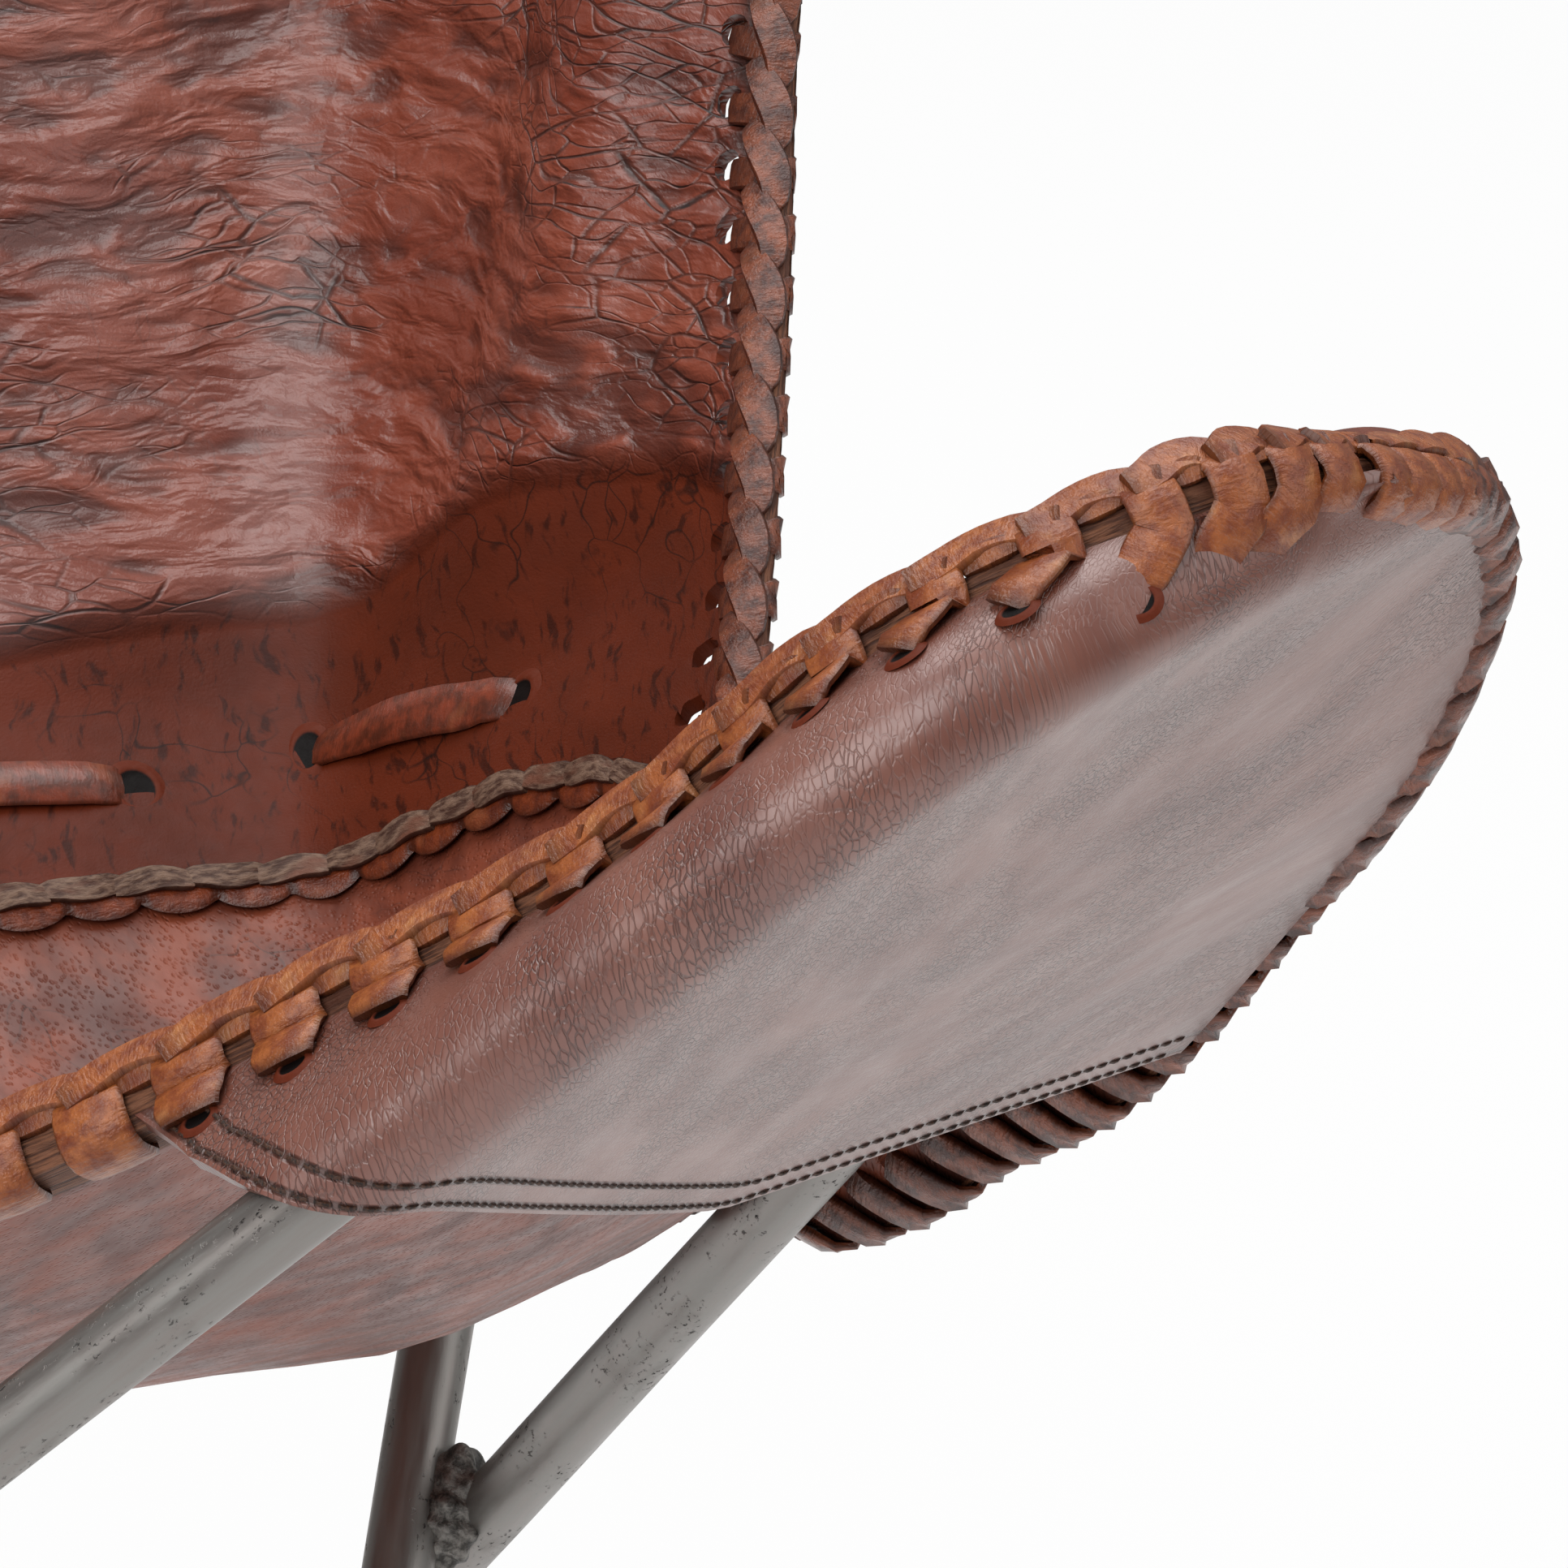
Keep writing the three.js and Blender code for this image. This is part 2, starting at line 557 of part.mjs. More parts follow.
const SEAT_ALONG_SHARES = [
  0, 0.01, 0.02, 0.032, 0.046, 0.062, 0.082, 0.11, 0.145, 0.19, 0.24, 0.3, 0.37, 0.44, 0.52, 0.6, 0.68,
  0.76, 0.84, 0.92, 1,
];
const BACK_ALONG_SHARES = [
  0, 0.04, 0.09, 0.15, 0.22, 0.29, 0.36, 0.43, 0.5, 0.57, 0.64, 0.71, 0.77, 0.82, 0.865, 0.9, 0.93, 0.955,
  0.975, 0.99, 1,
];
const seatPlaces = [
  ...SEAT_ALONG_SHARES.map((share) =>
    ACROSS_SHARES.map((across) => [across, share * (seamShare(across) - LAP_SHARE)]),
  ),
  ACROSS_SHARES.map((across) => [across, seamShare(across)]),
];
const backPlaces = [
  ACROSS_SHARES.map((across) => [across, seamShare(across) - LAP_SHARE]),
  ...BACK_ALONG_SHARES.map((share) =>
    ACROSS_SHARES.map((across) => [across, between(v3(seamShare(across), 0, 0), v3(1, 0, 0), share).x]),
  ),
];
const normalsAt = (places) => places.map((row) => row.map(([across, along]) => slingNormal(across, along)));

// The back panel's lower edge laps over the seat panel's upper edge.
const LAP_FADE_SHARE = 4;
function backPoint(across, along) {
  const past = (along - seamShare(across)) / LAP_SHARE;
  const raised = (LEATHER + JOINT_GAP) * (1 - smooth(past / LAP_FADE_SHARE));
  return slingPoint(across, along).addScaledVector(slingNormal(across, along), raised);
}

const seatPoints = seatPlaces.map((row) => row.map(([across, along]) => slingPoint(across, along)));
const backPoints = backPlaces.map((row) => row.map(([across, along]) => backPoint(across, along)));
const seatNormals = normalsAt(seatPlaces);
const backNormals = normalsAt(backPlaces);

// Leather with room for the rods it touches.
function clearOfRods(geometry) {
  let solid = toSolid(geometry);
  for (const room of rodRooms) solid = solid.subtract(room);
  return toGeometry(solid);
}
addMesh(sling, "seat_panel", clearOfRods(sheet(seatPoints, seatNormals)), leather);
addMesh(sling, "back_panel", clearOfRods(sheet(backPoints, backNormals)), leather);

// The pockets: an outer layer under each horn. In a slice square to the horn's axis it runs like a taut
// string from one laced edge, round the outside of both rods, to the other laced edge.
const FRONT_POCKET_DEPTH = 165;
const BACK_POCKET_DEPTH = 185;
const POCKET_TIP_SHARE = 0.55;
const POCKET_SPAN_COLUMNS = 9;
const STRING_SAMPLES = 200;
const LEAST_SPAN_SHARES = [0.15, 0.35, 0.85];
const POCKET_ROW_SHARES = [0, 0.02, 0.045, 0.075, 0.11, 0.16, 0.22, 0.3, 0.39, 0.49, 0.6, 0.72, 0.85, 1];
const CIRCLE_SIDES = 48;

function hull(points) {
  const sorted = [...points].sort((p, q) => p.x - q.x || p.y - q.y);
  const turn = (o, p, q) => (p.x - o.x) * (q.y - o.y) - (p.y - o.y) * (q.x - o.x);
  const chain = (list) => {
    const kept = [];
    for (const p of list) {
      while (kept.length > 1 && turn(kept.at(-2), kept.at(-1), p) <= 0) kept.pop();
      kept.push(p);
    }
    return kept.slice(0, -1);
  };
  return [...chain(sorted), ...chain(sorted.toReversed())];
}

// The outline of the wrapped rods in a slice square to a horn's axis, at a depth inside its outermost point.
function rodOutline(bend, depth) {
  const end = bendEnd(bend, 1).sub(bend.centre);
  const endDepth = bend.radius - end.dot(bend.outward);
  const slant = -bend.b.dot(bend.outward);
  const outline = [];
  for (let i = 0; i < CIRCLE_SIDES; i++) {
    const angle = (2 * Math.PI * i) / CIRCLE_SIDES;
    const out = WRAP_RADIUS * Math.cos(angle);
    const y = WRAP_RADIUS * Math.sin(angle);
    const inward = bend.radius - depth;
    let x = 0;
    if (depth < endDepth) x = Math.sqrt(Math.max(0, (bend.radius + out) ** 2 - inward ** 2));
    else x = end.dot(bend.along) + ((depth - endDepth) * bend.b.dot(bend.along) + out) / slant;
    if (x > 0) outline.push(new THREE.Vector2(x, y), new THREE.Vector2(-x, y));
  }
  return outline;
}

function atDepth(bend, curve, depth, fromEnd) {
  const apex = bend.point(0);
  const depthAt = (t) => -curve.getPointAt(t).sub(apex).dot(bend.outward);
  let near = fromEnd ? 1 : 0;
  let far = 0.5;
  const rounds = 40;
  for (let i = 0; i < rounds; i++) {
    const middle = (near + far) / 2;
    if (depthAt(middle) < depth) near = middle;
    else far = middle;
  }
  return (near + far) / 2;
}

function pocketRow(bend, depth, edges) {
  const apex = bend.point(0);
  const flatten = (p) => {
    const from = p.clone().sub(apex);
    return new THREE.Vector2(from.dot(bend.along), from.dot(bend.normal));
  };
  const [start, end] = edges.map(flatten);
  const outline = rodOutline(bend, depth);
  const around = hull([start, end, ...outline]);
  const nearest = (p) =>
    around.reduce((best, q, i) => (q.distanceTo(p) < around[best].distanceTo(p) ? i : best), 0);
  const from = nearest(start);
  const count = ((nearest(end) - from + around.length) % around.length) + 1;
  const chain = Array.from({ length: count }, (_, i) => around[(from + i) % around.length]);
  const lengths = [0];
  for (let i = 1; i < chain.length; i++) lengths.push(lengths[i - 1] + chain[i].distanceTo(chain[i - 1]));
  const whole = lengths.at(-1);
  const pointAt = (length) => {
    let k = 1;
    while (k < lengths.length - 1 && lengths[k] < length) k++;
    return chain[k - 1].clone().lerp(chain[k], (length - lengths[k - 1]) / (lengths[k] - lengths[k - 1]));
  };
  // The lengths at which the string passes under the two rods.
  const spread = Math.max(...outline.map((p) => p.x)) - WRAP_RADIUS;
  const under = [-1, 1].map((side) => {
    const bottom = new THREE.Vector2(side * spread, -WRAP_RADIUS);
    let best = 0;
    for (let i = 0; i <= STRING_SAMPLES; i++) {
      const length = (whole * i) / STRING_SAMPLES;
      if (pointAt(length).distanceTo(bottom) < pointAt(best).distanceTo(bottom)) best = length;
    }
    return best;
  });
  const most = Math.min(Math.max(under[1], LEAST_SPAN_SHARES[1] * whole), LEAST_SPAN_SHARES[2] * whole);
  const least = Math.min(Math.max(under[0], LEAST_SPAN_SHARES[0] * whole), most - LEAST_SPAN_SHARES[0] * whole);
  const stops = [0, least, most, whole];
  return Array.from({ length: 3 * POCKET_SPAN_COLUMNS + 1 }, (_, i) => {
    const span = Math.min(2, Math.floor(i / POCKET_SPAN_COLUMNS));
    const share = i / POCKET_SPAN_COLUMNS - span;
    const flat = pointAt(stops[span] + share * (stops[span + 1] - stops[span]));
    return apex
      .clone()
      .addScaledVector(bend.outward, -depth)
      .addScaledVector(bend.along, flat.x)
      .addScaledVector(bend.normal, flat.y);
  });
}

function gridNormals(rows) {
  return rows.map((row, j) =>
    row.map((_, i) => {
      const ahead = rows[Math.min(rows.length - 1, j + 1)][i];
      const behind = rows[Math.max(0, j - 1)][i];
      const right = row[Math.min(row.length - 1, i + 1)];
      const left = row[Math.max(0, i - 1)];
      return right.clone().sub(left).cross(ahead.clone().sub(behind)).normalize();
    }),
  );
}

function pocketRows(bend, depth, curveA, endA, placeA, curveB, endB, placeB) {
  const tipDepth = -POCKET_TIP_SHARE * HEM_REACH;
  const under = (curve, t, placeOf) =>
    curve.getPointAt(t).addScaledVector(slingNormal(...placeOf(t)), -(LEATHER + PANEL_CLEARANCE));
  return POCKET_ROW_SHARES.map((share) => {
    const at = tipDepth + share * (depth - tipDepth);
    const a = under(curveA, atDepth(bend, curveA, at, endA), placeA);
    const b = under(curveB, atDepth(bend, curveB, at, endB), placeB);
    return pocketRow(bend, at, [a, b]).map(clearOfPanel);
  });
}

// Keeps a pocket's layer clear below the panel it lies against.
const NEAR_STEPS = 150;
const nearPanel = [];
for (let i = 0; i <= NEAR_STEPS; i++) {
  for (let j = 0; j <= NEAR_STEPS; j++) {
    const across = i / NEAR_STEPS;
    const along = j / NEAR_STEPS;
    nearPanel.push({ point: slingPoint(across, along), normal: slingNormal(across, along) });
  }
}
function clearOfPanel(point) {
  let nearest = nearPanel[0];
  let best = Infinity;
  for (const sample of nearPanel) {
    const distance = sample.point.distanceToSquared(point);
    if (distance < best) {
      best = distance;
      nearest = sample;
    }
  }
  const above = point.clone().sub(nearest.point).dot(nearest.normal);
  const needed = above + LEATHER + PANEL_CLEARANCE;
  return needed > 0 ? point.clone().addScaledVector(nearest.normal, -needed) : point;
}

const frontPocketRows = pocketRows(
  frontHornBend,
  FRONT_POCKET_DEPTH,
  frontEdge,
  true,
  (t) => [t, 0],
  sideEdge,
  false,
  (t) => [1, t],
);
const backPocketRows = pocketRows(
  backHornBend,
  BACK_POCKET_DEPTH,
  sideEdge,
  true,
  (t) => [1, t],
  topEdge,
  true,
  (t) => [t, 1],
);

// Two rows of stitches along a pocket's mouth, sewn in one run that turns back at the end.
function stitches(rows, bend) {
  const last = rows.at(-1);
  const before = rows.at(-2);
  const normals = gridNormals(rows);
  const middle = Math.floor(last.length / 2);
  const outer = normals.at(-1)[middle].dot(bend.normal) > 0 ? -1 : 1;
  const rowAt = (inset) =>
    last.slice(1, -1).map((point, k) => {
      const inner = before[k + 1];
      const share = inset / point.distanceTo(inner);
      const normal = normals.at(-1)[k + 1].clone().multiplyScalar(outer);
      const raise = LEATHER / 2 + 4 * JOINT_GAP + THREAD / 2;
      return { point: between(point, inner, share).addScaledVector(normal, raise), normal };
    });
  const run = [...rowAt(STITCH_INSET), ...rowAt(STITCH_INSET + STITCH_ROW_GAP).reverse()];
  return bar(run.map((at) => at.point), run.map((at) => at.normal), THREAD, THREAD);
}

const pockets = [
  ["front", frontPocketRows, frontHornBend],
  ["back", backPocketRows, backHornBend],
];
const mirrorShape = (geometry) => {
  const solid = toSolid(geometry).mirror([1, 0, 0]);
  return toGeometry(solid);
};
for (const [name, rows, bend] of pockets) {
  const pocket = sheet(rows, gridNormals(rows));
  addMesh(sling, `${name}_pocket_right`, clearOfRods(pocket), pocketLeather);
  addMesh(sling, `${name}_pocket_left`, clearOfRods(mirrorShape(pocket)), pocketLeather);
  const thread = stitches(rows, bend);
  addMesh(sling, `${name}_pocket_thread_right`, thread, threadFibre);
  addMesh(sling, `${name}_pocket_thread_left`, mirrorShape(thread), threadFibre);
}

// Lacing along the side edges, from horn tip to horn tip: it hugs the cut edge.
const EDGE_LACE_STEPS = 70;
const LACE_SHIFT = LEATHER / 2 + 5 * JOINT_GAP;
const TIP_GAP_SHARE = 0.008;
function sideLace() {
  const points = [];
  const normals = [];
  for (let i = 0; i <= EDGE_LACE_STEPS; i++) {
    const t = TIP_GAP_SHARE + ((1 - 2 * TIP_GAP_SHARE) * i) / EDGE_LACE_STEPS;
    const normal = slingNormal(1, t);
    const edge = sideEdge.getPointAt(t);
    const out = sideEdge.getTangentAt(t).cross(normal).normalize();
    for (const [bend, tip] of [[frontHornBend, frontTip], [backHornBend, backTip]]) {
      const hold = 1 - smooth(edge.distanceTo(tip) / (2 * TIP_FADE));
      const flat = edge.clone().sub(bend.centre).projectOnPlane(bend.normal).normalize();
      out.lerp(flat, hold).normalize();
    }
    points.push(edge.addScaledVector(out, LACE_EDGE / 2 + LACE_SHIFT).addScaledVector(normal, -LACE_SHIFT));
    normals.push(normal);
  }
  return bar(points, normals, LACE_EDGE, LACE_DEPTH);
}
addMesh(sling, "right_edge_lace", sideLace(), laceLeather);
addMesh(sling, "left_edge_lace", mirrorShape(sideLace()), laceLeather);

// Lacing that lies on a panel: over the front and the top rim, and along the seam, where a braid covers
// the back panel's lower edge and a flat lace is woven above it.
const RIM_END_COLUMNS = 7;
const TOP_RIM_ROOM = 3; // under the rim lacing, where the panel rises over a rod
const SEAM_END_COLUMNS = 3;
function onPanel(rowsA, rowsB, normals, distance, raise, width, height, endColumns) {
  const keep = (_, i) => i >= endColumns && i < rowsA.length - endColumns;
  const points = rowsA.map((a, i) => {
    const share = distance / a.distanceTo(rowsB[i]);
    return between(a, rowsB[i], share).addScaledVector(normals[i], raise);
  });
  return bar(points.filter(keep), normals.filter(keep), width, height);
}
const braid = onPanel(
  seatPoints.at(-2),
  seatPoints.at(-3),
  seatNormals.at(-2),
  SEAM_BRAID_WIDTH / 2 + 2 * JOINT_GAP,
  LEATHER / 2 + 2 * JOINT_GAP + SEAM_BRAID_HEIGHT / 2,
  SEAM_BRAID_WIDTH,
  SEAM_BRAID_HEIGHT,
  SEAM_END_COLUMNS,
);
addMesh(sling, "seam_lace", braid, braidLeather);
const strip = onPanel(
  backPoints[1],
  backPoints[2],
  backNormals[1],
  STRIP_ABOVE_SEAM,
  LEATHER / 2 + 2 * JOINT_GAP + STRIP_THICKNESS / 2,
  STRIP_WIDTH,
  STRIP_THICKNESS,
  SEAM_END_COLUMNS,
);
addMesh(sling, "running_lace", strip, laceLeather);

const rims = [
  ["front_edge_lace", seatPoints[0], seatPoints[1], seatNormals[0], 2 * JOINT_GAP],
  ["top_edge_lace", backPoints.at(-1), backPoints.at(-2), backNormals.at(-1), TOP_RIM_ROOM],
];
for (const [name, rowA, rowB, normals, room] of rims) {
  const raise = (LEATHER + LACE_EDGE) / 2 + room;
  const lace = onPanel(rowA, rowB, normals, LACE_DEPTH / 2, raise, LACE_DEPTH, LACE_EDGE, RIM_END_COLUMNS);
  addMesh(sling, name, lace, laceLeather);
}

export default chair;
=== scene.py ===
import math
import bmesh
import bpy
import numpy as np
from bpy.props import FloatProperty, FloatVectorProperty, IntProperty, PointerProperty
from mathutils.kdtree import KDTree
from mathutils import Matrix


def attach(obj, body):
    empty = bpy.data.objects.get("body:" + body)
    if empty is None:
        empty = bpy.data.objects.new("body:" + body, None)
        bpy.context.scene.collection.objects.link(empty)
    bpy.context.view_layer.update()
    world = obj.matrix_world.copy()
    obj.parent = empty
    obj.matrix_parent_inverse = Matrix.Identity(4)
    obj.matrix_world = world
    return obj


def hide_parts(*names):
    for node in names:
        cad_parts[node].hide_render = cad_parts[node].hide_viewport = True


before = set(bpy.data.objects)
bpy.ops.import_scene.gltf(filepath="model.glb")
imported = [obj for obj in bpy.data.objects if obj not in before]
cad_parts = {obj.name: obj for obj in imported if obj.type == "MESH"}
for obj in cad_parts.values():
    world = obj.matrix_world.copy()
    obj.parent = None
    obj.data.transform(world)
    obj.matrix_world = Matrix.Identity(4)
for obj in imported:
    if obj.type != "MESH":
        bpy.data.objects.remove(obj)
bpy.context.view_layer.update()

bl_info = {
    "name": "Laced Sling Chair",
    "version": (1, 0, 0),
    "blender": (4, 5, 0),
    "location": "View3D > Sidebar > Sling Chair",
    "description": "Dresses the frame of a butterfly chair with its rods, leather and lacing",
    "category": "Object",
}

MM = 0.001


def srgb(code):
    """A colour written as #rrggbb, as the linear numbers that a shader takes."""
    parts = [int(code[i : i + 2], 16) / 255 for i in (1, 3, 5)]
    return [c / 12.92 if c <= 0.04045 else ((c + 0.055) / 1.055) ** 2.4 for c in parts]


def colour_property(name, description, code):
    return FloatVectorProperty(
        name=name, description=description, default=srgb(code), subtype="COLOR", size=3, min=0, max=1
    )


def length_property(name, description, millimetres):
    return FloatProperty(
        name=name, description=description, default=millimetres * MM, unit="LENGTH", min=0, precision=4
    )


class ChairSizes(bpy.types.PropertyGroup):
    leather: length_property("Leather", "Thickness of the sling's leather", 2.8)
    rim_pitch: length_property("Rim pitch", "Distance between the tan straps of the front and the top edge", 17)
    rim_strap: length_property("Rim strap", "Width of a tan strap", 9.6)
    side_pitch: length_property("Side pitch", "Distance between the dark straps of the side edges", 12.9)
    side_strap: length_property("Side strap", "Width of a dark strap", 8.4)
    strap_thickness: length_property("Strap thickness", "Thickness of all straps", 1.7)
    hole_inset: length_property("Hole inset", "Distance of the lacing holes from the cut edge", 9.2)
    hole_width: length_property("Hole width", "Width of a lacing hole across the edge", 5.4)
    hole_length: length_property("Hole length", "Length of a lacing hole along the edge", 6.0)
    stitch: length_property("Stitch", "Length of one stitch of the pockets' mouths", 2.5)
    rod_sides: IntProperty(name="Rod sides", description="Flat sides round a rod", default=40, min=12, max=96)


class ChairColours(bpy.types.PropertyGroup):
    back: colour_property("Back", "Glossy wrinkled leather of the back", "#8a4531")
    burnished: colour_property("Burnished", "Rubbed band over the seam", "#5c2412")
    seat: colour_property("Seat", "Leather of the seat", "#82402a")
    pocket: colour_property("Pocket", "Leather of the horn pockets", "#7d4a3a")
    tan: colour_property("Tan lace", "Lacing of the front and the top edge", "#a65f30")
    dark_lace: colour_property("Dark lace", "Lacing of the side edges", "#8a492e")
    braid: colour_property("Braid", "Dry braid over the seam", "#7d6352")
    steel: colour_property("Steel", "Raw rod", "#918e8a")
    floor: colour_property("Floor", "Pale studio floor", "#f4f4f4")


# The frame's corners and bends, in millimetres, as the solids have them.
ROD_RADIUS = 6.0
LEATHER = 2.8
DEPTH_SHIFT = -22.277
HEM_REACH = 14.0
HEM_DROP = 26.0
WRAP_RADIUS = ROD_RADIUS + LEATHER / 2 + 1.6
SPRING_REACH = 95.0


def spot(x, y, z):
    return np.array([x, y, z], float)


def unit(v):
    return v / np.maximum(np.linalg.norm(v, axis=-1, keepdims=True), 1e-12)


def mirrored(p):
    return p * spot(-1, 1, 1)


def smooth(t):
    t = np.clip(t, 0, 1)
    return t * t * (3 - 2 * t)


def rising(value, start, over):
    """From 0 at start to 1 at start + over, without a kink."""
    return smooth((value - start) / over)


def dot(a, b):
    return (a * b).sum(-1)


def lengths_along(points):
    """The distance from the first point to each one, along a line or along each column of a grid."""
    steps = np.linalg.norm(np.diff(points, axis=0), axis=-1)
    return np.concatenate([np.zeros((1,) + steps.shape[1:]), np.cumsum(steps, axis=0)])


def points_at(wanted, lengths, line):
    """The points of a line at the wanted lengths along it."""
    return np.stack([np.interp(wanted, lengths, values) for values in line.T], -1)


def area_of(points):
    """The area of a grid of points."""
    diagonals = np.cross(points[1:, 1:] - points[:-1, :-1], points[1:, :-1] - points[:-1, 1:])
    return np.linalg.norm(diagonals, axis=2).sum() / 2


def hash_of(n):
    """A steady number from 0 to 1 for each whole number."""
    value = np.sin(np.asarray(n, float) * 12.9898 + 4.137) * 43758.5453
    return value - np.floor(value)


class Bend:
    """A round bend of the rod between two straight legs."""

    def __init__(self, corner, end_a, end_b, radius):
        self.a = unit(end_a - corner)
        self.b = unit(end_b - corner)
        self.radius = radius
        half = math.acos(float(self.a @ self.b)) / 2
        inward = unit(self.a + self.b)
        self.centre = corner + inward * radius / math.sin(half)
        self.outward = -inward
        self.along = unit(self.b - self.a)
        self.normal = unit(np.cross(self.a, self.b))
        if self.normal[2] < 0:
            self.normal = -self.normal
        self.half_length = radius * (math.pi / 2 - half)

    def out(self, distance):
        angle = np.clip(distance, -self.half_length, self.half_length) / self.radius
        angle = np.asarray(angle)[..., None]
        return np.cos(angle) * self.outward + np.sin(angle) * self.along

    def point(self, distance):
        distance = np.asarray(distance, float)
        past = np.maximum(0, np.abs(distance) - self.half_length)[..., None]
        way = np.where((distance > 0)[..., None], self.b, self.a)
        return self.centre + self.out(distance) * self.radius + way * past

    def place(self, points):
        from_centre = points - self.centre
        up = from_centre @ self.normal
        flat = from_centre - up[..., None] * self.normal
        side = np.where(flat @ self.along > 0, 1.0, -1.0)
        ends = np.where((side > 0)[..., None], self.end(1), self.end(-1)) - self.centre
        legs = np.where((side > 0)[..., None], self.b, self.a)
        past = dot(flat - ends, legs)
        of_leg = dot(flat - ends, unit(ends))
        return side, up, np.where(past > 0, of_leg, np.linalg.norm(flat, axis=-1) - self.radius)

    def end(self, side):
        return self.point(side * self.half_length)


FRONT_HORN = spot(480, DEPTH_SHIFT - 450, 625)
BACK_HORN = spot(500, DEPTH_SHIFT + 478, 1002)
FRONT_FOOT = spot(235, DEPTH_SHIFT - 213, 0)
BACK_FOOT = spot(200, DEPTH_SHIFT + 285, 0)
FRONT_HORN_BEND = 76
BACK_HORN_BEND = 60
FOOT_BEND = 40
SOLE_FLAT = 0.8


def set_down(foot, end_a, end_b):
    for _ in range(6):
        bend = Bend(foot, end_a, end_b, FOOT_BEND)
        low = bend.point(np.linspace(-1, 1, 61) * bend.half_length)[:, 2].min()
        foot[2] += ROD_RADIUS - SOLE_FLAT - low


set_down(FRONT_FOOT, mirrored(FRONT_HORN), BACK_HORN)
set_down(BACK_FOOT, FRONT_HORN, mirrored(BACK_HORN))
FRONT = Bend(FRONT_HORN, mirrored(FRONT_FOOT), BACK_FOOT, FRONT_HORN_BEND)
BACK = Bend(BACK_HORN, FRONT_FOOT, mirrored(BACK_FOOT), BACK_HORN_BEND)
FRONT_SOLE = Bend(FRONT_FOOT, mirrored(FRONT_HORN), BACK_HORN, FOOT_BEND)
BACK_SOLE = Bend(BACK_FOOT, FRONT_HORN, mirrored(BACK_HORN), FOOT_BEND)


class Edge:
    """A smooth line through points, measured by its length."""

    def __init__(self, points):
        self.points = np.array(points, float)
        n = len(self.points)
        ends = [2 * self.points[0] - self.points[1], 2 * self.points[-1] - self.points[-2]]
        line = np.vstack([ends[0], self.points, ends[1]])
        p0, p1, p2, p3 = line[: n - 1], line[1:n], line[2 : n + 1], line[3 : n + 2]
        d0, d1, d2 = [np.sqrt(np.linalg.norm(b - a, axis=1))[:, None] for a, b in ((p0, p1), (p1, p2), (p2, p3))]
        t1 = ((p1 - p0) / d0 - (p2 - p0) / (d0 + d1) + (p2 - p1) / d1) * d1
        t2 = ((p2 - p1) / d1 - (p3 - p1) / (d1 + d2) + (p3 - p2) / d2) * d1
        self.terms = [p1, t1, -3 * p1 + 3 * p2 - 2 * t1 - t2, 2 * p1 - 2 * p2 + t1 + t2]
        self.steps = np.linspace(0, 1, 201)
        spots = self.by_step(self.steps)
        self.lengths = lengths_along(spots)
        self.length = self.lengths[-1]

    def by_step(self, t):
        count = len(self.points) - 1
        place = np.clip(np.asarray(t, float), 0, 1) * count
        k = np.minimum(place.astype(int), count - 1)
        w = (place - k)[..., None]
        c0, c1, c2, c3 = [c[k] for c in self.terms]
        return c0 + c1 * w + c2 * w**2 + c3 * w**3

    def at(self, share):
        return self.by_step(np.interp(np.asarray(share, float) * self.length, self.lengths, self.steps))

    def tangent(self, share):
        share = np.asarray(share, float)
        return unit(self.at(np.clip(share + 0.0015, 0, 1)) - self.at(np.clip(share - 0.0015, 0, 1)))


def horn_spot(bend, station, out, up):
    distance = station * bend.half_length
    return bend.point(distance) + bend.out(distance) * out * HEM_REACH + bend.normal * up * HEM_DROP


def near_front(x, y, z):
    return spot(x * 480, DEPTH_SHIFT - y * 450, z * 625)


def near_back(x, y, z):
    return spot(x * 500, DEPTH_SHIFT + y * 478, z * 1002)


FRONT_TIP = horn_spot(FRONT, 0.12, 0.82, 0)
BACK_TIP = horn_spot(BACK, 0, 0.85, 0)
FRONT_RIM = [(-1.6, -1.15, 1.08), (-1.19, -1.07, 0.77), (-0.7, -0.57, 0.65), (-0.37, 0.29, 0.42), (-0.13, 0.85, 0.23)]
WING_SIDE = [(0.35, 0.8, -0.2), (0.64, 0.86, -0.31), (0.92, 1.05, -0.54), (1.32, 1, -0.88), (1.85, 1, -0.96),
             (2.42, 1, -1), (2.7, 1, -0.92), (3, 1.05, -0.7), (3.39, 1, -0.5), (3.66, 1, -0.12)]
MIDDLE_SIDE = [(0.726, -0.105, 0.352), (0.73, -0.042, 0.389), (0.742, 0.031, 0.417), (0.754, 0.105, 0.443),
               (0.768, 0.199, 0.48)]
BACK_SIDE = [(-5.3, 2, 0.12), (-3.83, 1.64, 0.04), (-2.16, 1, -0.08), (-1.5, 0.95, -0.04), (-1, 0.9, 0),
             (-0.66, 0.88, 0), (-0.33, 0.86, 0)]
TOP_RIM = [(2, 0.3, 0.5), (1.5, 0.6, 0.28), (1, 0.8, 0.1), (0.66, 0.82, 0.04), (0.33, 0.84, 0.01)]

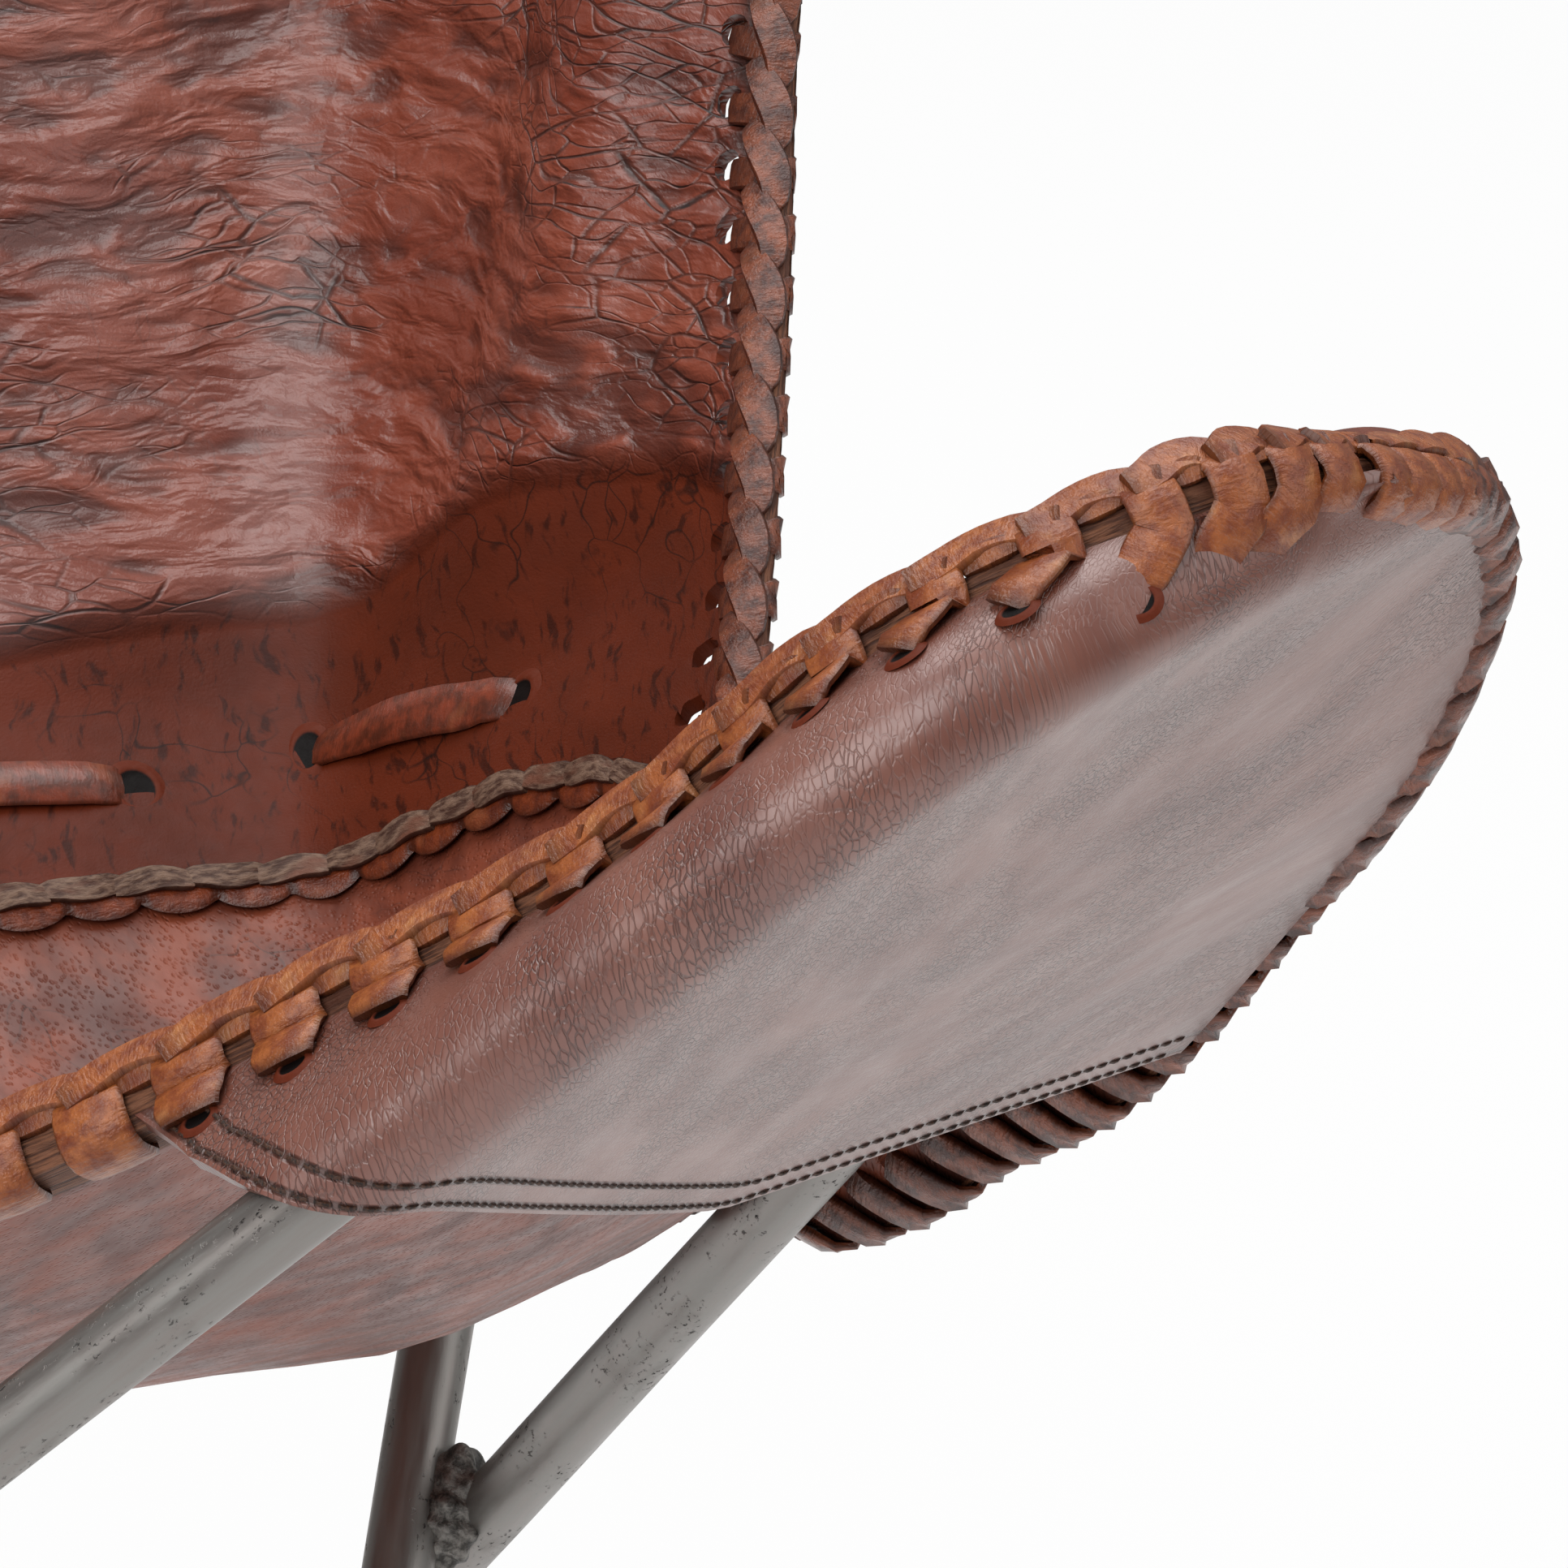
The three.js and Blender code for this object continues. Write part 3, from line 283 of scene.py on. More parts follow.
FRONT_EDGE = Edge(
    [spot(0, DEPTH_SHIFT - 305, 378), near_front(0.229, 0.704, 0.626), near_front(0.458, 0.751, 0.691)]
    + [horn_spot(FRONT, *at) for at in FRONT_RIM]
    + [FRONT_TIP]
)
SIDE_EDGE = Edge(
    [FRONT_TIP]
    + [horn_spot(FRONT, *at) for at in WING_SIDE]
    + [near_back(*at) for at in MIDDLE_SIDE]
    + [horn_spot(BACK, *at) for at in BACK_SIDE]
    + [BACK_TIP]
)
TOP_EDGE = Edge(
    [spot(0, DEPTH_SHIFT + 322, 690), near_back(0.25, 0.69, 0.7), near_back(0.5, 0.735, 0.745)]
    + [horn_spot(BACK, *at) for at in TOP_RIM]
    + [BACK_TIP]
)


def lid(out, up, edge_out, edge_up):
    """The least height of the leather over a rod's plane, for an edge that hangs outside the rod."""
    hold = 1 - smooth(-out / (3 * HEM_REACH))
    inside = up + hold * np.maximum(0, WRAP_RADIUS - up)
    reach = np.hypot(edge_out, edge_up)
    turn = np.arctan2(edge_out, edge_up) - np.arccos(np.clip(WRAP_RADIUS / np.maximum(reach, WRAP_RADIUS), -1, 1))
    leave_out, leave_up = WRAP_RADIUS * np.sin(turn), WRAP_RADIUS * np.cos(turn)
    share = (out - leave_out) / np.where(np.abs(edge_out - leave_out) < 1e-9, 1e-9, edge_out - leave_out)
    outside = np.maximum(up, leave_up + share * (edge_up - leave_up))
    outside = np.where(out >= edge_out, up, outside)
    round_rod = np.maximum(up, np.sqrt(np.maximum(WRAP_RADIUS**2 - out**2, 0)))
    outside = np.where((turn > 0) & (out < leave_out), round_rod, outside)
    outside = np.where((edge_out <= 0) | (reach <= WRAP_RADIUS), np.maximum(up, WRAP_RADIUS), outside)
    return np.where(out <= 0, inside, outside)


BOWL_DEPTH = 255  # of the sling's middle under a straight sheet from the front edge to the top edge
FRONT_RAISE = 10  # how much shallower the bowl is in front
FRONT_EDGE_DROP = 9.5


def front_drop(side):
    """How far the front edge hangs below the line through its points, up to where it meets the horn's rod."""
    return FRONT_EDGE_DROP * (1 - rising(side, 0.63, 0.23))


def sling_point(across, along):
    """A point of the sling: across from -1 to 1, along from the front edge, 0, to the top edge, 1."""
    across, along = np.broadcast_arrays(np.asarray(across, float), np.asarray(along, float))
    side, v = np.minimum(1, np.abs(across)), np.clip(along, 0, 1)
    front_point, top_point, edge_point = FRONT_EDGE.at(side), TOP_EDGE.at(side), SIDE_EDGE.at(v)
    w = v[..., None]
    point = front_point + (top_point - front_point) * w
    point = point + (edge_point - (FRONT_TIP + (BACK_TIP - FRONT_TIP) * w)) * side[..., None] ** 4
    point[..., 2] -= BOWL_DEPTH * (1 - side**6) * np.sin(math.pi * v)
    point[..., 2] += FRONT_RAISE * (1 - side**6) * smooth(v / 0.2) * (1 - rising(v, 0.25, 0.2))
    point[..., 2] -= front_drop(side) * (1 - smooth(v / 0.42))
    front_point = front_point - front_drop(side)[..., None] * spot(0, 0, 1)
    for bend, near_a, near_b in ((FRONT, front_point, edge_point), (BACK, edge_point, top_point)):
        where, up, out = bend.place(point)
        near = np.where((where > 0)[..., None], near_b, near_a)
        _, edge_up, edge_out = bend.place(near)
        point = point + bend.normal * (lid(out, up, edge_out, edge_up) - up)[..., None]
    return np.where((across < 0)[..., None], mirrored(point), point)


def sling_normal(across, along):
    across, along = np.broadcast_arrays(np.asarray(across, float), np.asarray(along, float))
    step = 0.004
    a, v = np.clip(across, step - 1, 1 - step), np.clip(along, step, 1 - step)
    way_x = sling_point(a + step, v) - sling_point(a - step, v)
    way_y = sling_point(a, v + step) - sling_point(a, v - step)
    normal = unit(np.cross(way_x, way_y))
    point = sling_point(np.abs(across), along)
    for bend, tip in ((FRONT, FRONT_TIP), (BACK, BACK_TIP)):
        hold = (1 - smooth(np.linalg.norm(point - tip, axis=-1) / (4 * HEM_REACH)))[..., None]
        own = np.where((across < 0)[..., None], mirrored(bend.normal), bend.normal)
        normal = normal + (own - normal) * hold
    return unit(normal)


SEAM_LAP = 12.0
LAP_SHARE = SEAM_LAP / SIDE_EDGE.length
SEAM_MIDDLE = 0.566  # share of the way from the front edge to the top edge
SEAM_FALLS = (0.03, 0.16)


def seam_share(across):
    """How far along the sling its seam lies: it falls off towards the sides."""
    squared = np.asarray(across) ** 2
    return SEAM_MIDDLE - SEAM_FALLS[0] * squared - SEAM_FALLS[1] * squared**2


class Course:
    """The way along an edge of the sling: a point, the edge's direction, the way out of the sheet, and
    the way up from the sheet's inner face, at any distance along the edge in millimetres."""

    def __init__(self, spots, normals, out_hint):
        self.spots = spots
        self.at_length = lengths_along(spots)
        self.length = self.at_length[-1]
        tangents = unit(np.gradient(spots, axis=0))
        for _ in range(12):
            inner = (normals[:-2] + 2 * normals[1:-1] + normals[2:]) / 4
            normals = unit(np.vstack([normals[:1], inner, normals[-1:]]))
        outs = unit(np.cross(tangents, normals))
        middle = len(spots) // 2
        if outs[middle] @ out_hint < 0:
            outs = -outs
        ups = unit(np.cross(outs, tangents))
        if ups[middle] @ normals[middle] < 0:
            ups = -ups
        self.parts = [spots, tangents, outs, ups]

    def at(self, distance):
        place, *ways = [points_at(distance, self.at_length, part) for part in self.parts]
        return place, *[unit(way) for way in ways]

    def place(self, distance, out, up):
        spot_at, _, out_at, up_at = self.at(distance)
        return spot_at + out_at * np.asarray(out)[..., None] + up_at * np.asarray(up)[..., None]


COURSE_STEP = 2  # millimetres


def rim_course(edge, along, out_hint):
    shares = np.linspace(0, 1, int(edge.length / COURSE_STEP))
    return Course(sling_point(shares, along), sling_normal(shares, along), out_hint)


def side_course():
    shares = np.linspace(0, 1, int(SIDE_EDGE.length / COURSE_STEP))
    return Course(SIDE_EDGE.at(shares), sling_normal(1, shares), spot(1, 0, 0))


FRONT_COURSE = rim_course(FRONT_EDGE, 0, spot(0, -1, 0.2))
TOP_COURSE = rim_course(TOP_EDGE, 1, spot(0, 0.3, 1))
SIDE_COURSE = side_course()


# Pieces.
def settings():
    return bpy.context.scene.chair_sizes


def colours():
    return bpy.context.scene.chair_colours


def size(name):
    """A size from the panel, in millimetres."""
    return getattr(settings(), name) / MM


def colour(name):
    return tuple(getattr(colours(), name)) + (1.0,)


def only(piece):
    bpy.ops.object.select_all(action="DESELECT")
    piece.select_set(True)
    bpy.context.view_layer.objects.active = piece


def new_grid(name, columns, rows):
    """A flat grid of quads, and for each vertex its column and row."""
    bpy.ops.object.select_all(action="DESELECT")
    bpy.ops.mesh.primitive_grid_add(x_subdivisions=columns, y_subdivisions=rows, size=1, location=(0, 0, 0))
    piece = bpy.context.active_object
    piece.name = piece.data.name = name
    flat = np.zeros(len(piece.data.vertices) * 3)
    piece.data.vertices.foreach_get("co", flat)
    flat = flat.reshape(-1, 3)
    column = np.rint((flat[:, 0] + 0.5) * columns).astype(int)
    row = np.rint((flat[:, 1] + 0.5) * rows).astype(int)
    return piece, column, row


def put(piece, points):
    """Places a piece's vertices, given in millimetres."""
    piece.data.vertices.foreach_set("co", (np.asarray(points) * MM).ravel())
    piece.data.update()


def spots_of(piece):
    flat = np.zeros(len(piece.data.vertices) * 3)
    piece.data.vertices.foreach_get("co", flat)
    return flat.reshape(-1, 3) / MM


def lay_uv(piece, across, along):
    """Gives a piece a map in metres, from one pair of millimetres for each vertex."""
    layer = piece.data.uv_layers.active or piece.data.uv_layers.new(name="UVMap")
    corner = np.zeros(len(piece.data.loops), int)
    piece.data.loops.foreach_get("vertex_index", corner)
    pairs = np.stack([np.asarray(across)[corner], np.asarray(along)[corner]], -1) * MM
    layer.data.foreach_set("uv", pairs.ravel())


def note(piece, name, values):
    """Stores one number for each vertex, which the materials read."""
    layer = piece.data.attributes.get(name) or piece.data.attributes.new(name, "FLOAT", "POINT")
    layer.data.foreach_set("value", np.broadcast_to(np.asarray(values, float), (len(piece.data.vertices),)).copy())


def finish_with(piece, kind, **values):
    only(piece)
    modifier = piece.modifiers.new(kind.title(), kind)
    for name, value in values.items():
        setattr(modifier, name, value)
    bpy.ops.object.modifier_apply(modifier=modifier.name)


def rounded(piece, degrees=180):
    only(piece)
    if degrees >= 180:
        bpy.ops.object.shade_smooth()
    else:
        bpy.ops.object.shade_smooth_by_angle(angle=math.radians(degrees))


def done(piece, material, *nodes, slot=None):
    piece.data.materials.clear()
    piece.data.materials.append(material)
    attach(piece, "root")
    if nodes:
        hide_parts(*nodes)


def joined(pieces, name):
    bpy.ops.object.select_all(action="DESELECT")
    for piece in pieces:
        piece.select_set(True)
    bpy.context.view_layer.objects.active = pieces[0]
    if len(pieces) > 1:
        bpy.ops.object.join()
    whole = bpy.context.active_object
    whole.name = whole.data.name = name
    return whole


def twin(piece, name):
    """A mirror copy on the chair's other side, turned right side out."""
    copy = piece.copy()
    copy.data = piece.data.copy()
    copy.name = copy.data.name = name
    bpy.context.collection.objects.link(copy)
    put(copy, mirrored(spots_of(copy)))
    copy.data.flip_normals()
    return copy


def tube(name, centres, side, top, radius, sides):
    """A round bar along points, closed at both ends; side and top are the section's two directions."""
    steps = len(centres) - 1
    bar, column, row = new_grid(name, sides, steps)
    angle = 2 * math.pi * column / sides
    around = np.cos(angle)[:, None] * side[row] + np.sin(angle)[:, None] * top[row]
    put(bar, centres[row] + around * radius)
    lengths = lengths_along(centres)
    lay_uv(bar, column / sides * 2 * math.pi * radius, lengths[row] + 400 * hash_of(len(name) + centres[0].sum()))
    merge(bar)
    cap_ends(bar)
    face_out(bar)
    return bar


def edit(piece, operator, **values):
    """Runs one operator of the edit mode on a whole piece."""
    only(piece)
    bpy.ops.object.mode_set(mode="EDIT")
    bpy.ops.mesh.select_all(action="SELECT")
    operator(**values)
    bpy.ops.object.mode_set(mode="OBJECT")


def merge(piece):
    edit(piece, bpy.ops.mesh.remove_doubles, threshold=1e-6)


def face_out(piece):
    edit(piece, bpy.ops.mesh.normals_make_consistent, inside=False)


def cap_ends(piece):
    shape = bmesh.new()
    shape.from_mesh(piece.data)
    open_edges = [e for e in shape.edges if e.is_boundary]
    bmesh.ops.holes_fill(shape, edges=open_edges, sides=0)
    shape.to_mesh(piece.data)
    shape.free()


# The section of a strap: flat below, a little crowned above.
STRAP_X = np.array([1, 0.9, 0, -0.9, -1, -0.9, 0, 0.9])
STRAP_Y = np.array([0, 0.85, 1.1, 0.85, 0, -0.85, -1, -0.85])


class Blank:
    """One strap, cut once, that is copied and bent into place as often as it is needed."""

    def __init__(self, name, steps):
        self.piece, column, row = new_grid(name, len(STRAP_X), steps)
        put(self.piece, np.stack([STRAP_X[column % 8] * 4, row * 10.0, STRAP_Y[column % 8]], -1))
        merge(self.piece)
        spots = spots_of(self.piece)
        self.row = np.rint(spots[:, 1] / 10).astype(int)
        corner = np.stack([STRAP_X * 4, STRAP_Y], -1)
        self.column = np.array([np.abs(corner - p).sum(1).argmin() for p in spots[:, [0, 2]]])
        cap_ends(self.piece)
        self.made = []

    def lay(self, centres, side, up, width, thickness, shade=0.5):
        """A copy along centres, flat across side, with up its crowned face."""
        copy = self.piece.copy()
        copy.data = self.piece.data.copy()
        bpy.context.collection.objects.link(copy)
        k = self.row
        width, thickness = np.broadcast_to(width, len(centres)), np.broadcast_to(thickness, len(centres))
        x = (STRAP_X[self.column] * width[k] / 2)[:, None]
        y = (STRAP_Y[self.column] * thickness[k] / 2)[:, None]
        put(copy, centres[k] + side[k] * x + up[k] * y)
        lengths = lengths_along(centres)
        lay_uv(copy, STRAP_X[self.column] * width[k] / 2 + 20 * shade, lengths[k] + 37 * shade)
        note(copy, "shade", shade)
        note(copy, "across", np.abs(STRAP_X[self.column]))
        note(copy, "way", k / max(1, len(centres) - 1))
        self.made.append(copy)

    def gather(self, name):
        whole = joined(self.made, name)
        bpy.data.objects.remove(self.piece)
        face_out(whole)
        rounded(whole, 60)
        return whole


def through(points, count):
    """count points along a smooth line through the given ones."""
    return Edge(points).at(np.linspace(0, 1, count))


def lay_facing(blank, centres, facing, width, thickness, shade):
    """A strap along centres whose crowned face looks the facing way."""
    ahead = unit(np.gradient(centres, axis=0))
    side = unit(np.cross(ahead, facing))
    blank.lay(centres, side, unit(np.cross(side, ahead)), width, thickness, shade)


BLACK, WHITE = (0, 0, 0, 1), (1, 1, 1, 1)
# A pocket's two rows of stitches: how far they lie from its mouth, and the gap between two stitches
STITCH_INSETS = (1.9, 7.8)
STITCH_GAP = 0.7


# Materials. Numbers in them are in metres, or shares of a noise's range from 0 to 1.
def new_material(name):
    material = bpy.data.materials.new(name)
    material.use_nodes = True
    return material, material.node_tree


def add(tree, kind, links=None, **values):
    """Adds a node. Values set its own settings, or the sockets that they name; links feed sockets."""
    made = tree.nodes.new(kind)
    feeds = {s.name.replace(" ", "_") for s in made.inputs}
    for name in values.keys() - feeds:
        setattr(made, name, values[name])
    sockets = {s.name.replace(" ", "_"): s for s in reversed(made.inputs) if s.enabled}
    for name in values.keys() & feeds:
        sockets[name].default_value = values[name]
    for name, source in (links or {}).items():
        place = made.inputs[name] if isinstance(name, int) else sockets[name.replace(" ", "_")]
        tree.links.new(source, place)
    return made


def out(made, name=0):
    if isinstance(name, int):
        return [s for s in made.outputs if s.enabled][name]
    return made.outputs[name]


def stretched(vector, scale, rotation=(0, 0, 0)):
    return out(add(vector.id_data, "ShaderNodeMapping", {"Vector": vector}, Scale=scale, Rotation=rotation))


def uv_spots(tree):
    """The piece's own map in metres."""
    return add(tree, "ShaderNodeTexCoord").outputs["UV"]


def object_spots(tree):
    return add(tree, "ShaderNodeTexCoord").outputs["Object"]


def stored(tree, name):
    return add(tree, "ShaderNodeAttribute", attribute_name=name).outputs["Fac"]


def noise(vector, scale, detail=4, roughness=0.55, distortion=0.0):
    made = add(vector.id_data, "ShaderNodeTexNoise", {"Vector": vector}, noise_type="FBM", Scale=scale,
               Detail=detail, Roughness=roughness, Distortion=distortion)
    return out(made, "Fac")


def cells(vector, scale, feature="F1"):
    made = add(vector.id_data, "ShaderNodeTexVoronoi", {"Vector": vector}, feature=feature, Scale=scale)
    return out(made, "Distance")


def net(vector, scale):
    """How far a spot is from a net of lines between cells."""
    return cells(vector, scale, "DISTANCE_TO_EDGE")


def warped(vector, scale, amount):
    """Spots pushed about by a soft noise, so that lines along them wander."""
    tree = vector.id_data
    push = add(tree, "ShaderNodeTexNoise", {"Vector": vector}, Scale=scale, Detail=2)
    centred = add(tree, "ShaderNodeVectorMath", {0: push.outputs["Color"]}, operation="SUBTRACT")
    centred.inputs[1].default_value = (0.5, 0.5, 0.5)
    scaled = add(tree, "ShaderNodeVectorMath", {0: out(centred)}, operation="SCALE", Scale=amount)
    return out(add(tree, "ShaderNodeVectorMath", {0: vector, 1: out(scaled)}, operation="ADD"))


def ramp(factor, low, high, to_low=0.0, to_high=1.0, kind="SMOOTHSTEP"):
    made = add(factor.id_data, "ShaderNodeMapRange", {0: factor}, interpolation_type=kind)
    for index, value in ((1, low), (2, high), (3, to_low), (4, to_high)):
        made.inputs[index].default_value = value
    return out(made)


def between(factor, at_none, at_full):
    """A number that follows a factor from 0 to 1."""
    return ramp(factor, 0, 1, at_none, at_full, "LINEAR")


def fill(socket, value):
    """Feeds a socket from another node's, or sets it."""
    if hasattr(value, "links"):
        socket.id_data.links.new(value, socket)
    elif value is not None:
        socket.default_value = value


def sums(operation, a, b=0.0):
    made = add(a.id_data, "ShaderNodeMath", operation=operation)
    fill(made.inputs[0], a)
    fill(made.inputs[1], b)
    return out(made)


def times(a, b):
    return sums("MULTIPLY", a, b)


def plus(a, b):
    return sums("ADD", a, b)


def blend(factor, first, second):
    """Mixes two colours; each is a colour or what another node gives."""
    made = add(factor.id_data, "ShaderNodeMix", data_type="RGBA", blend_type="MIX")
    for index, value in ((0, factor), (6, first), (7, second)):
        fill(made.inputs[index], value)
    return made.outputs[2]


def bumped(height, distance, before=None):
    made = add(height.id_data, "ShaderNodeBump", {"Height": height}, Distance=distance, Strength=1.0)
    fill(made.inputs["Normal"], before)
    return out(made)


def dress(material, base, roughness, normal, **values):
    """Feeds a material's shader and hands the material on."""
    shader = material.node_tree.nodes["Principled BSDF"]
    values.update(Base_Color=base, Roughness=roughness, Normal=normal)
    for name, value in values.items():
        fill(shader.inputs[name.replace("_", " ")], value)
    return material


def paint(code):
    """A fixed colour, written as #rrggbb."""
    return tuple(srgb(code)) + (1.0,)


def tinted(base, share, code):
    """A colour covered by a fixed one, as far as share says."""
    return blend(share, base, paint(code))


def back_leather():
    # Thick vegetable-tanned hide, waxed: crumpled into long level wrinkles that shine on their crests, with painted
    # shade in their valleys and black wax in their cracks, and rubbed smooth in a band over the seam.
    material, tree = new_material("waxed_back_leather")
    spots, where = uv_spots(tree), object_spots(tree)

    def level(stretch, scale, push):
        """Spots along lines that run level over the back, with a slight rise to the side."""
        return stretched(warped(where, scale, push), (stretch, 0.35, 1), (0, 0.16, 0))

    folds = noise(level(0.2, 14, 0.014), 78, 2, 0.5, 0.5)
    small_folds = noise(level(0.26, 30, 0.008), 190, 3, 0.5, 0.4)
    crackle = ramp(net(level(0.16, 22, 0.02), 130), 0.0, 0.04, 1, 0)
    fine_crackle = ramp(net(level(0.2, 40, 0.012), 280), 0.0, 0.06, 1, 0)
    wrinkled = ramp(stored(tree, "over_band"), -0.006, 0.004)
    wide = level(0.4, 20, 0.01)
    cracks = times(sums("MAXIMUM", crackle, times(fine_crackle, 0.7)), ramp(noise(wide, 34, 4, 0.6), 0.42, 0.62))
    cracks = times(cracks, wrinkled)
    base = tinted(colour("back"), ramp(noise(wide, 40, 5, 0.6), 0.3, 0.7), "#6e2c18")
    # painted shade: darker in the valleys of the folds, where the bump sinks
    base = tinted(base, ramp(times(plus(folds, small_folds), 0.5), 0.5, 0.4, 0, 0.7), "#3d160c")
    low = tinted(colour("burnished"), ramp(noise(spots, 30, 5, 0.65), 0.35, 0.7), "#4e1f10")
    low = tinted(low, ramp(noise(spots, 9, 4, 0.6), 0.5, 0.7, 0, 0.8), "#4a1c10")
    cuts = noise(stretched(warped(spots, 60, 0.012), (1.5, 0.4, 1), (0, 0, 0.5)), 250, 3, 0.6)
    low = tinted(low, ramp(cuts, 0.54, 0.68, 0, 0.7), "#220d08")
    base = tinted(blend(wrinkled, low, base), times(cracks, 0.9), "#120a08")
    lines = net(stretched(warped(spots, 45, 0.035), (1.2, 0.5, 1)), 62)
    stains = times(ramp(lines, 0, 0.022, 1, 0), ramp(noise(spots, 24, 4), 0.48, 0.6))
    base = tinted(base, times(stains, between(wrinkled, 0.8, 0.2)), "#1c0f0b")
    # painted shade along the side edge, beside and under the lacing, broken up by noise
    edge = ramp(stored(tree, "from_edge"), 0.0135, 0.0065)
    base = tinted(base, times(edge, ramp(noise(spots, 160, 3), 0.3, 0.55, 0.4, 1)), "#22100b")
    height = times(plus(folds, times(small_folds, 0.4)), between(wrinkled, 0.05, 1))
    pores = noise(spots, 1500, 2, 0.6)
    normal = bumped(sums("SUBTRACT", times(pores, 0.25), cracks), 0.0005, bumped(height, 0.009))
    rough = plus(ramp(noise(spots, 300, 4), 0.3, 0.7, 0.27, 0.4), between(wrinkled, 0.14, 0))
    return dress(material, base, rough, normal, Specular_IOR_Level=between(wrinkled, 0.08, 0.5),
                 Coat_Weight=between(wrinkled, 0.05, 0.4), Coat_Roughness=0.27)


def seat_leather():
    # The same hide inside the seat: rubbed smooth and mottled by wear.
    material, tree = new_material("rubbed_seat_leather")
    spots = uv_spots(tree)
    mottle = noise(warped(spots, 30, 0.02), 55, 6, 0.62)
    # painted shade: darker lengthwise streaks stand for the shade of the seat's long folds
    streaks = noise(stretched(warped(spots, 14, 0.03), (1, 0.35, 1)), 45, 4, 0.6)
    base = blend(ramp(mottle, 0.36, 0.66), paint("#5a2a1d"), colour("seat"))
    base = tinted(base, ramp(streaks, 0.52, 0.68, 0, 0.6), "#4a2117")
    scuffs = ramp(net(warped(spots, 60, 0.016), 95), 0, 0.025, 1, 0)
    base = tinted(base, times(times(scuffs, ramp(noise(spots, 30, 3), 0.52, 0.64)), 0.6), "#25120d")
    # painted shade along the side edge, beside and under the lacing
    edge = ramp(stored(tree, "from_edge"), 0.0125, 0.007)
    base = tinted(base, times(edge, 0.75), "#2a1611")
    folds = noise(stretched(warped(spots, 12, 0.03), (1, 0.4, 1)), 60, 4, 0.5)
    pores = cells(warped(spots, 500, 0.0007), 950)
    normal = bumped(ramp(pores, 0.0, 0.5), 0.00018, bumped(folds, 0.0016))
    rough = ramp(noise(spots, 120, 4), 0.3, 0.7, 0.36, 0.5)
    return dress(material, base, rough, normal, Specular_IOR_Level=0.34, Coat_Weight=0.05, Coat_Roughness=0.35)


def pocket_leather():
    # Thinner hide stretched over the horn: close pebbled grain with a soft grey sheen, and shallow creases
    # that fan from the laced edge towards the mouth, painted darker as their shade, with painted shade along the laced
    # edges.
    material, tree = new_material("pebbled_pocket_leather")
    spots = uv_spots(tree)
    fan = stretched(warped(spots, 10, 0.02), (0.25, 1, 1))
    creases = noise(fan, 70, 4, 0.55)
    base = tinted(colour("pocket"), ramp(noise(fan, 34, 4, 0.6), 0.3, 0.7), "#693628")
    # painted shade: darker along the creases, on top of their bump
    base = tinted(base, ramp(creases, 0.56, 0.7, 0, 0.25), "#54291f")
    grooves = ramp(net(warped(spots, 700, 0.0008), 820), 0.0, 0.13, 1, 0)
    pebbly = ramp(noise(spots, 26, 3), 0.38, 0.6, 0.15, 1)
    base = tinted(base, times(times(grooves, pebbly), 0.5), "#33160f")
    mouth = stored(tree, "from_mouth")
    rows = [ramp(sums("ABSOLUTE", sums("SUBTRACT", mouth, inset * MM)), 0.0004, 0.0012, 1, 0)
            for inset in STITCH_INSETS]
    sewn = sums("MAXIMUM", *rows)
    base = tinted(base, times(sewn, 0.7), "#2a140e")
    # painted shade along the laced edges, under and beside the outer ends of the straps
    edge = ramp(stored(tree, "from_edge"), 0.014, 0.008)
    base = tinted(base, times(edge, 0.35), "#5a2a1c")
    normal = bumped(sums("SUBTRACT", creases, times(sewn, 0.5)), 0.0008)
    normal = bumped(times(grooves, times(pebbly, -1)), 0.00022, normal)
    rough = ramp(noise(spots, 90, 4), 0.3, 0.7, 0.34, 0.44)
    return dress(material, base, rough, normal, Specular_IOR_Level=0.95, Coat_Weight=0.45, Coat_Roughness=0.36)


def lace_leather(name, main, deep, pale, gloss, wrinkle=0.00045):
    # Narrow straps cut from veg-tanned hide: smooth and shiny where they bend over the edge, with fine
    # cross wrinkles, painted shade along their sides and ends, and paler patches: rubbed wear and painted highlights.
    material, tree = new_material(name)
    spots = uv_spots(tree)
    wander = noise(warped(spots, 160, 0.002), 260, 5, 0.62)
    base = blend(ramp(wander, 0.34, 0.66), deep, main)
    base = blend(ramp(stored(tree, "shade"), 0.1, 1, 0.0, 0.45, "LINEAR"), base, deep)
    # paler patches at random: rubbed wear, and painted highlights on the straps
    base = blend(ramp(noise(spots, 120, 3), 0.55, 0.72, 0, 0.55), base, pale)
    # painted shade along the straps' sides, where they meet the leather and each other
    base = tinted(base, ramp(stored(tree, "across"), 0.86, 1.0, 0, 0.55), "#2c150c")
    # painted shade where a strap goes into a hole or under other lacing, and along the scallops' rims and gaps
    base = tinted(base, between(stored(tree, "end_dark"), 0, 0.85), "#3a1a0e")
    lines = noise(stretched(warped(spots, 300, 0.0012), (0.3, 1, 1)), 1300, 3, 0.5)
    normal = bumped(plus(lines, times(noise(spots, 2200, 2), 0.4)), wrinkle)
    rough = ramp(wander, 0.3, 0.7, gloss + 0.1, gloss)
    return dress(material, base, rough, normal, Specular_IOR_Level=0.45, Coat_Weight=0.12, Coat_Roughness=0.25)


def raw_edge():
    # The two layers' cut edge: split fibres that run along it, brown with pale and dark threads, dull.
    material, tree = new_material("raw_leather_edge")
    spots = uv_spots(tree)
    fibres = noise(warped(stretched(spots, (0.08, 1, 1)), 200, 0.0006), 1500, 4, 0.6)
    patches = noise(stretched(spots, (0.5, 1, 1)), 130, 4, 0.6)
    base = blend(ramp(fibres, 0.38, 0.62), paint("#3f2216"), paint("#7d5038"))
    base = tinted(base, ramp(patches, 0.45, 0.7), "#522c1c")
    base = tinted(base, ramp(fibres, 0.68, 0.76), "#a07c60")
    return dress(material, base, 0.62, bumped(fibres, 0.0009), Specular_IOR_Level=0.35)


